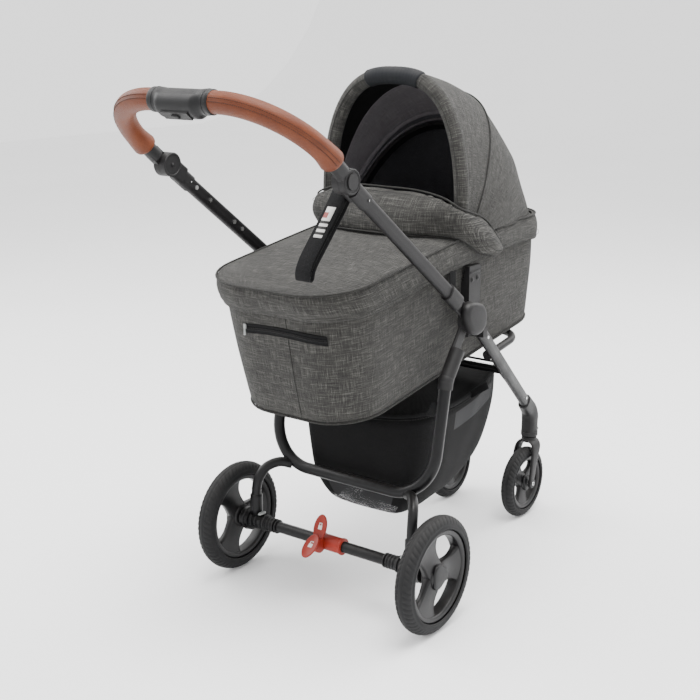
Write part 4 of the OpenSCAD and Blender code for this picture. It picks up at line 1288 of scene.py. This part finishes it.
hub_bm = bmesh.new()
for s in (1, -1):
    for x, way in ((206.2, -1), (235.4, 1)):
        centre = HUB + Vector((s * x / 1000, 0, 0))
        lip_section = [(-0.6, 23.2), (0.9, 22.4), (1.4, 21.2), (0.9, 20.0), (-0.6, 19.4)]
        spin_section(hub_bm, [(r / 1000, s * way * d / 1000) for d, r in lip_section], centre, 48)
    screw(hub_bm, HUB + Vector((s * 0.2055, 0, 0)), 0.0042, -s)
hub_faces = piece(hub_bm, "handle_hub_faces", "push_frame", [HOUSING, BLACK])
PUSH_SLOPE = math.radians(37.1)
TUBE_UP = Vector((0, -math.cos(PUSH_SLOPE), math.sin(PUSH_SLOPE)))
screw_bm = bmesh.new()
for s in (1, -1):
    for x, way in ((208, -1), (234, 1)):
        screw(screw_bm, HUB + Vector((s * x / 1000, 0, 0)) - TUBE_UP * 0.066, 0.0034, s * way)
piece(screw_bm, "sleeve_screws", "push_frame", [BLACK, STEEL])
print("hub faces", len(hub_faces.data.polygons))

# %% [markdown]
# ## Hinge covers
#
# The folding hinge hides under a drop-shaped cover: round over the pin, and drawn out along the push tube.
# It is a loft of the same outline, smaller and further out each time, so its edge is rounded like a
# pebble's.

# %% Hinge covers
low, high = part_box("hinge_covers")
hinge_mid = Vector((0, (low.y + high.y) / 2, (low.z + high.z) / 2))
slope = math.pi - PUSH_SLOPE
cover_bm = bmesh.new()
for s in (1, -1):
    rings = []
    for x, inset in ((222.3, 0), (231, 0), (236, 1.2), (239, 3.5), (240.9, 7), (241.7, 12), (241.7, 34)):
        ring = []
        for a in turns(56):
            r = 37 + 17 * max(0.0, math.cos(a - slope)) ** 5 - 2.0 * abs(math.sin(a - slope)) - inset
            ring.append(hinge_mid + Vector((s * x, r * math.cos(a), r * math.sin(a))) / 1000)
        rings.append(ring)
    loft(cover_bm, rings, closed=True, cap=True)
    disc(cover_bm, Vector((s * 0.2012, hinge_mid.y, hinge_mid.z)), 0.013, 0.0065, soft=0.0015)
    screw(cover_bm, Vector((s * 0.1975, hinge_mid.y, hinge_mid.z)), 0.006, -s)
covers = piece(cover_bm, "hinge_drop_covers", "front_frame", [HOUSING, BLACK])
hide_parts("hinge_covers")
print("cover faces", len(covers.data.polygons))

# %% [markdown]
# ## Wrist strap
#
# A loop of ribbed webbing hangs from the right push tube, square to it, stiff enough to stand away a
# little. Flat webbing is lofted directly: a thin rectangle carried round the loop's path. A white care
# label with grey lines and a red block is sewn on.

# %% Strap
TUBE_DOWN = Vector((0, -math.sin(PUSH_SLOPE), -math.cos(PUSH_SLOPE)))
STRAP_HALF, STRAP_THICK = 0.0165, 0.0009
strap_root = HUB + Vector((0.192, 0, 0)) - TUBE_UP * 0.042
loop_points = ((0.006, 0.004), (0.003, 0.05), (-0.004, 0.110), (-0.009, 0.160), (-0.004, 0.181),
               (-0.010, 0.187),
               (-0.020, 0.175), (-0.0235, 0.150), (-0.019, 0.100), (-0.014, 0.05), (-0.012, 0.004))
loop_line = through([(0, away, down) for away, down in loop_points], 5)


def strap_ring(p, ahead):
    """The webbing's section at p, square to the way to the next point."""
    run = (ahead - p).normalized()
    face = Vector((0, -run.z, run.y))
    half, thick, edge = STRAP_HALF, STRAP_THICK, STRAP_HALF + 0.0006
    corners = ((-half, -thick), (half, -thick), (edge, 0), (half, thick), (-half, thick), (-edge, 0))
    ring = []
    for x, d in corners:
        local = p + face * d
        ring.append(strap_root + Vector((x, 0, 0)) - TUBE_UP * local.y + TUBE_DOWN * local.z)
    return ring


strap_bm = bmesh.new()
steps_on = list(zip(loop_line, loop_line[1:]))
strap_rings = [strap_ring(p, q) for p, q in steps_on]
strap_rings.append(strap_ring(loop_line[-1], loop_line[-1] * 2 - loop_line[-2]))
loft(strap_bm, strap_rings, closed=True, cap=True)
for row in (-0.0100, 0.0100):
    stitches(strap_bm, [strap_root + Vector((row, 0, 0)) - TUBE_UP * (p.y - 0.0012) + TUBE_DOWN * p.z
                        for p in loop_line[1:20]], 0.0045, 0.0007, 1)
strap = piece(strap_bm, "wrist_strap_webbing", "push_frame", [WEBBING, GREY_THREAD])
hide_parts("wrist_strap")
clasp_bm = bmesh.new()
bevelled_box(clasp_bm, Vector((-0.0125, -0.004, -0.004)), Vector((0.0185, 0.019, 0.009)), 0.002)
seat_clasp = in_plane(strap_root, -TUBE_UP, TUBE_DOWN)
bmesh.ops.transform(clasp_bm, matrix=seat_clasp, verts=clasp_bm.verts[:])
piece(clasp_bm, "wrist_strap_clasp", "push_frame", [BLACK])
label_bm = bmesh.new()
label_rows = []
for k in range(12):
    drop = 0.040 + 0.066 * k / 11
    middle = strap_root + TUBE_UP * (0.0125 + 0.0115 * min(1.0, drop / 0.15)) + TUBE_DOWN * drop
    label_rows.append([middle + Vector((x, 0, 0)) for x in (-0.0095, 0, 0.0095)])
loft(label_bm, label_rows)
for index, face in enumerate(label_bm.faces):
    row, column = divmod(index, 2)
    face.material_index = 2 if row in (2, 3) and column else 1 if row in (5, 7, 9) else 0
piece(label_bm, "care_label", "push_frame", [MARK_WHITE, GREY_THREAD, BRAKE_RED], thick=0.0004)
print("strap faces", len(strap.data.polygons), "length", round(sum((b - a).length for a, b in steps_on), 3))

# %% [markdown]
# ## Rear legs
#
# The legs that carry the rear wheels are bent tubes: they leave the loop backwards, arch over and drop to
# the axle. Sweeping a circle along one smooth path gives the bend, and a short sleeve covers the foot.

# %% Bent legs
LEG_X, AXLE_Z = 214, 127
leg_path = ((160, 64, 258), (182, 46, 263), (202, 22, 252), (212, 5, 224), (LEG_X, 0, 190), (LEG_X, 0, 142))
legs_bm = bmesh.new()
for s in (1, -1):
    bend = through([at(s * x, y, z) for x, y, z in leg_path], 8)
    tube(legs_bm, bend, 0.0112, around=24)
    sleeve = [at(s * LEG_X, 0, z) for z in (192, 190, 186, 160, 144)]
    tube(legs_bm, sleeve, lambda share: 0.0142 if share > 0.05 else 0.0125, around=24)
legs = piece(legs_bm, "rear_wheel_legs", "rear_frame", [LOOP_BLACK])
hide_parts("wheel_legs")
print("leg faces", len(legs.data.polygons))

# %% [markdown]
# Ribs on the axle's end sleeves and a collar at each joint break up the long bar. The release buttons are
# light oval pads.

# %% Axle details
axle_bm = bmesh.new()
for s in (1, -1):
    for k in range(5):
        disc(axle_bm, at(s * (150 + 8 * k), 0, AXLE_Z), 0.0163, 0.0036, soft=0.001)
    for x, r, w in ((185, 19.0, 6), (207.5, 18.6, 4), (222, 19.5, 10), (236, 26.5, 4)):
        disc(axle_bm, at(s * x, 0, AXLE_Z), r / 1000, w / 1000, soft=0.0012)
    for side_of in (-1, 1):
        middle = at(s * 196, side_of * 14, AXLE_Z)
        reach = Vector((0.004, 0.003, 0.009))
        bevelled_box(axle_bm, middle - reach, middle + reach, 0.0012)
piece(axle_bm, "axle_ribs", "rear_frame", [BLACK])
for side, s in (("right", 1), ("left", -1)):
    pad_bm = bmesh.new()
    rings = []
    for z, grow in ((147.2, 0.92), (148.0, 1.0), (149.6, 1.0), (150.6, 0.9), (151.0, 0.7), (151.0, 0.1)):
        rings.append([at(s * 196.5 + 6.0 * grow * math.cos(a), -2 + 12 * grow * math.sin(a), z)
                      for a in turns(32)])
    loft(pad_bm, rings, closed=True, cap=True)
    pad = piece(pad_bm, "release_pad_" + side, "wheel_release_" + side, [RELEASE_GREY])
    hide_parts("wheel_release_" + side)
print("release pads made")

# %% [markdown]
# ## Brake pedal
#
# Two oval foot pads sit one above the other on a red sleeve round the axle, one to lock and one to free.
# Each pad is a loft of ovals with a raised lip, carries a plain padlock mark, and the sleeve ends in a
# ribbed wheel with a screw.

# %% Pedal
BOSS_Y = -24
pedal_bm = bmesh.new()
disc(pedal_bm, at(6, 0, AXLE_Z), 0.0175, 0.056, soft=0.002)
for x in (-22, 34):
    disc(pedal_bm, at(x, 0, AXLE_Z), 0.0190, 0.006, soft=0.0015)
disc(pedal_bm, at(-19, BOSS_Y, AXLE_Z), 0.0170, 0.024, soft=0.002)
bevelled_box(pedal_bm, at(-30, -26, 114), at(-8, 2, 142), 0.003)
for a in turns(12):
    y, z = BOSS_Y + 11.5 * math.cos(a), AXLE_Z + 11.5 * math.sin(a)
    bevelled_box(pedal_bm, at(-33.4, y - 1.4, z - 1.4), at(-30, y + 1.4, z + 1.4), 0.0005)
disc(pedal_bm, at(-31.5, BOSS_Y, AXLE_Z), 0.0165, 0.003, soft=0.0006)
PAD_PROFILE = ((-2.4, 0.2), (-2.4, 0.86), (-1.4, 0.98), (0.6, 1.0), (1.8, 0.97), (2.0, 0.90), (1.2, 0.84),
               (1.0, 0.2))
for s in (-1, 1):
    centre, lean = (at(-19, -12, 162), 68) if s > 0 else (at(-17, -50, 133), 40)
    tilt = Matrix.Translation(centre) @ Matrix.Rotation(math.radians(lean), 4, "X")
    before = set(pedal_bm.verts)
    rings = []
    for z, grow in PAD_PROFILE:
        rings.append([Vector((17 * grow * math.cos(a), 30 * grow * math.sin(a), z)) / 1000
                      for a in turns(40)])
    loft(pedal_bm, rings, closed=True, cap=True)
    shackle_foot = 5 if s > 0 else 8
    for x0, y0, x1, y1 in ((-5, -4, 5, 5), (-4, 5, -2.2, 11), (-4, 9.4, 4, 11), (2.2, shackle_foot, 4, 11)):
        low, high = Vector((x0, y0, 0.9)) / 1000, Vector((x1, y1, 1.5)) / 1000
        bevelled_box(pedal_bm, low, high, 0.0002, material=1)
    bmesh.ops.transform(pedal_bm, matrix=tilt, verts=[v for v in pedal_bm.verts if v not in before])
pedal = piece(pedal_bm, "brake_pedal_pads", "brake_pedal", [BRAKE_RED, MARK_WHITE])
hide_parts("brake_pedal")
print("pedal faces", len(pedal.data.polygons))

# %% [markdown]
# ## Casters
#
# Each caster's fork is one bent bar: up from the axle, over the tyre in a round arch, and down again. The
# bar is wide where it passes the crown and narrows to a round eye at the axle. Above it a curved elbow
# joins the leg to the upright housing.

# %% Forks
CASTER_X, CASTER_Y = 110, 694
FRONT_AXLE_Y, FRONT_AXLE_Z = 666, 91


def bulge(value):
    return math.copysign(abs(value) ** 0.6, value)


def rounded_slab(middle, across, wide, through_it, thick, count=20):
    """A section between an oval and a rectangle."""
    return [middle + across * (wide * bulge(math.cos(a))) + through_it * (thick * bulge(math.sin(a)))
            for a in turns(count)]


for side, s in (("right", 1), ("left", -1)):
    fork_bm = bmesh.new()
    half_path = [(26.5, FRONT_AXLE_Y, FRONT_AXLE_Z, 10), (26.5, 668, 110, 10.5), (26.5, 674, 140, 12.5),
                 (26.0, 682, 168, 16), (22.5, 689, 186, 19), (14, 692, 196, 20), (0, 693, 199, 20)]
    whole_path = half_path + [(-x, y, z, wide) for x, y, z, wide in half_path[-2::-1]]
    full = through([p[:3] for p in whole_path], 5)
    widths = through([(p[3], 0, 0) for p in whole_path], 5)
    rings = []
    for i, (p, w) in enumerate(zip(full, widths)):
        run = (full[min(i + 1, len(full) - 1)] - full[max(i - 1, 0)]).normalized()
        inward = Vector((run.z, 0, -run.x)).normalized()
        across = run.cross(inward).normalized()
        rings.append(rounded_slab(at(s * CASTER_X + p.x, p.y, p.z), across, w.x / 1000, inward, 0.0042))
    loft(fork_bm, rings, closed=True, cap=True)
    for x in (-26.5, 26.5):
        disc(fork_bm, at(s * CASTER_X + x, FRONT_AXLE_Y, FRONT_AXLE_Z), 0.0125, 0.0088, soft=0.0012)
    disc(fork_bm, at(s * CASTER_X, CASTER_Y, 200), 0.0190, 0.014, axis="Z", soft=0.002)
    disc(fork_bm, at(s * CASTER_X, CASTER_Y, 208), 0.0120, 0.008, axis="Z", soft=0.001)
    fork = piece(fork_bm, "caster_arch_" + side, "caster_" + side, [HOUSING])
    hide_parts("caster_fork_" + side)
    bolt_bm = bmesh.new()
    disc(bolt_bm, at(s * CASTER_X, FRONT_AXLE_Y, FRONT_AXLE_Z), 0.0042, 0.066, soft=0.0006)
    for x in (-32, 32):
        screw(bolt_bm, at(s * CASTER_X + x, FRONT_AXLE_Y, FRONT_AXLE_Z), 0.0058, x)
    piece(bolt_bm, "caster_bolt_" + side, "caster_" + side, [STEEL, BLACK])
    print(side, "fork faces", len(fork.data.polygons))

# %% Elbows
elbow_path = ((122.5, 637, 317), (116, 664, 297), (111.5, 684, 281), (CASTER_X, CASTER_Y, 262),
              (CASTER_X, CASTER_Y, 238), (CASTER_X, CASTER_Y, 212))
elbow_bm = bmesh.new()
for s in (1, -1):
    bend = through([at(s * x, y, z) for x, y, z in elbow_path], 6)
    rings = []
    for i, p in enumerate(bend):
        u = i / (len(bend) - 1)
        run = (bend[min(i + 1, len(bend) - 1)] - bend[max(i - 1, 0)]).normalized()
        over = run.cross(Vector((1, 0, 0))).normalized()
        wide = 0.0185 + (0.0015 * math.sin(math.pi * u) if u < 0.7 else 0.0)
        rings.append(rounded_slab(p, over, wide, run.cross(over), 0.0130 + 0.0055 * min(1.0, u * 1.6), 28))
    loft(elbow_bm, rings, closed=True, cap=True)
    disc(elbow_bm, at(s * CASTER_X, CASTER_Y, 215.2), 0.0215, 0.012, axis="Z", soft=0.0015)
    disc(elbow_bm, at(s * CASTER_X, CASTER_Y, 226), 0.0195, 0.004, axis="Z", soft=0.001)
elbows = piece(elbow_bm, "caster_elbows", "front_frame", [HOUSING])
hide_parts("caster_housings")
print("elbow faces", len(elbows.data.polygons))

# %% [markdown]
# ## Basket
#
# The shopping basket is a black cloth bag slung between the legs. It sags: the floor is a shallow bowl and
# the rear panel hangs slack from its hem. The sides have open mesh windows framed by cloth. It is one loft
# from the hem down and inwards over the floor, and the faces of the windows take the mesh finish.


# %% Basket
def basket_ring(t, inset=0.0):
    """Ring of the bag at t of its depth, 0 at the hem and 1 at the middle of the floor."""
    turn = 0.5 * math.pi * t
    narrow = 0.30 + 0.70 * math.cos(turn) ** 0.6
    rear_half, front_half = 184 * narrow - inset, 100 * (0.4 + 0.6 * narrow) - inset
    y0 = 106 - 10 * math.sin(2 * turn) + 34 * (1 - math.cos(turn)) + inset
    y1 = 556 - 120 * (1 - math.cos(turn)) - inset
    deep = 430 - 262 * math.sin(turn)
    ring = []
    for x, y in outline(100, 0, 100, 26, sides=10, corner=6):
        share = y / 100
        half = rear_half + (front_half - rear_half) * max(0.0, share) ** 1.3
        middle = math.sin(math.pi * min(1, max(0, x / 200 + 0.5)))
        sag = 30 * middle * math.exp(-(share / 0.16) ** 2) * (1 - t)
        side_sag = 14 * math.sin(math.pi * share) * (1 - t)
        ring.append(at(x / 100 * half, y0 + (y1 - y0) * share, deep - sag - side_sag + 40 * t * share))
    return ring


basket_bm = bmesh.new()
bag = [crumple(basket_ring(k / 18), 0.005 * math.sin(math.pi * k / 18), 0.09, 6.0) for k in range(19)]
loft(basket_bm, bag, closed=True, cap=True)
for face in basket_bm.faces:
    c = face.calc_center_median()
    y = (c.y - AXLE_Y) * 1000
    side_window = 0.355 < c.z < 0.405 and 240 < y < 500
    low_window = c.z < 0.228 and y < 190 and abs(c.x) < 0.09
    if len(face.verts) == 4 and (side_window or low_window):
        face.material_index = 1
basket = piece(basket_bm, "basket_bag", "front_frame", [BLACK_CLOTH, MESH_CLOTH], sub=1,
               thick=0.0014)
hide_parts("basket")
hem_bm = bmesh.new()
hem_path = basket_ring(0.0)
tube(hem_bm, hem_path + [hem_path[0]], 0.0042, around=10, cap=False, flat=0.6)
stitches(hem_bm, [p + Vector((0, 0, -0.008)) for p in basket_ring(0.0, -1.5)], 0.006, 0.0007, 1)
hem = piece(hem_bm, "basket_hem", "front_frame", [WEBBING, GREY_THREAD])
straps_bm = bmesh.new()
for s in (1, -1):
    for a, b in (((178, 118, 424), (203, 104, 462)), ((112, 530, 424), (150, 512, 404)),
                 ((150, 330, 414), (186, 344, 440))):
        p, q = at(s * a[0], *a[1:]), at(s * b[0], *b[1:])
        tube(straps_bm, [p.lerp(q, k / 6) for k in range(7)], 0.010, around=12, flat=0.14)
straps = piece(straps_bm, "basket_straps", "front_frame", [WEBBING])
for soft in (basket, hem, straps):
    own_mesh(soft)
print("basket faces", len(basket.data.polygons))

# %% [markdown]
# ## Zip, side catches and slots
#
# The foot of the carrycot has a zipped pocket: a dark tape with teeth and a small puller. On each side a
# catch plate carries two round buttons, and a dark webbing loop beside it keeps the carrycot on the frame.


# %% Zip
def on_foot(x, z, out=0.0):
    """A place on the shell's foot end, a little outside it."""
    t = min(1.0, max(0.0, (z - 451) / 275))
    half, y0, r = 160 + 20 * t + 3, -133 - 66 * t - 2.6, 104 + 11 * t
    beyond = abs(x) - (half - r)
    y = y0 if beyond <= 0 else y0 + r - math.sqrt(max(0.0, r * r - beyond * beyond))
    return at(x, y - out, z)


def zip_line(above, out):
    """A row along the zip, which bows down a little at its ends."""
    return [on_foot(x, 645 - 0.0006 * (x - 20) ** 2 + above, out) for x in xs]


zip_bm = bmesh.new()
xs = [-74 + 197 * k / 40 for k in range(41)]
loft(zip_bm, [zip_line(above, 1.2) for above in (10, 5, 1.2, -1.2, -5, -10)])
bmesh.ops.solidify(zip_bm, geom=zip_bm.faces[:], thickness=0.001)
for above in (1.6, -1.6):
    stitches(zip_bm, zip_line(above, 2.2), 0.0030, 0.0016, 1)
zip_tape = piece(zip_bm, "pocket_zip", "carrycot", [WEBBING, BLACK])
pull_bm = bmesh.new()
pull_top = on_foot(-72, 645, 3.5)
bevelled_box(pull_bm, pull_top + Vector((-0.003, -0.002, -0.005)), pull_top + Vector((0.003, 0.002, 0.005)),
             0.001)
tab = [pull_top + Vector((0, -0.001, -0.004 - 0.0018 * k)) for k in range(9)]
tube(pull_bm, tab, lambda share: 0.0016 + 0.0009 * share, around=12, flat=0.4)
piece(pull_bm, "pocket_zip_puller", "carrycot", [RELEASE_GREY])
print("zip faces", len(zip_tape.data.polygons))

# %% Catches
low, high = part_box("tub_brackets")
catch_bm = bmesh.new()
for s in (1, -1):
    for y, z in ((-0.011, -0.030), (0.011, -0.028)):
        where = Vector((s * (high.x - 0.0004), (low.y + high.y) / 2 + y, high.z + z))
        disc(catch_bm, where, 0.0058, 0.0040, soft=0.0012)
        screw(catch_bm, where + Vector((s * 0.002, 0, 0)), 0.0034, s, socket=0)
    inner, outer = sorted((s * (high.x - 0.001), s * (high.x + 0.0016)))
    bevelled_box(catch_bm, Vector((inner, low.y + 0.004, high.z - 0.016)),
                 Vector((outer, high.y - 0.004, high.z - 0.012)), 0.0008)
piece(catch_bm, "catch_buttons", "carrycot", [BLACK])
loop_bm = bmesh.new()
for s in (1, -1):
    drop = ((184, 748), (189, 728), (190, 700), (188.5, 676), (184, 664))
    path = through([at(s * x, 178, z) for x, z in drop], 5)
    tube(loop_bm, path, 0.013, around=12, flat=0.12, side=Vector((0, 1, 0)))
piece(loop_bm, "side_webbing", "carrycot", [WEBBING])
print("catches made")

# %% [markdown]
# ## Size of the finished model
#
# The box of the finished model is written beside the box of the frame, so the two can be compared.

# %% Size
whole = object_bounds()
for title, box in (("frame box", cad_box), ("model box", whole)):
    print(title, [[round(x, 3) for x in c] for c in box])
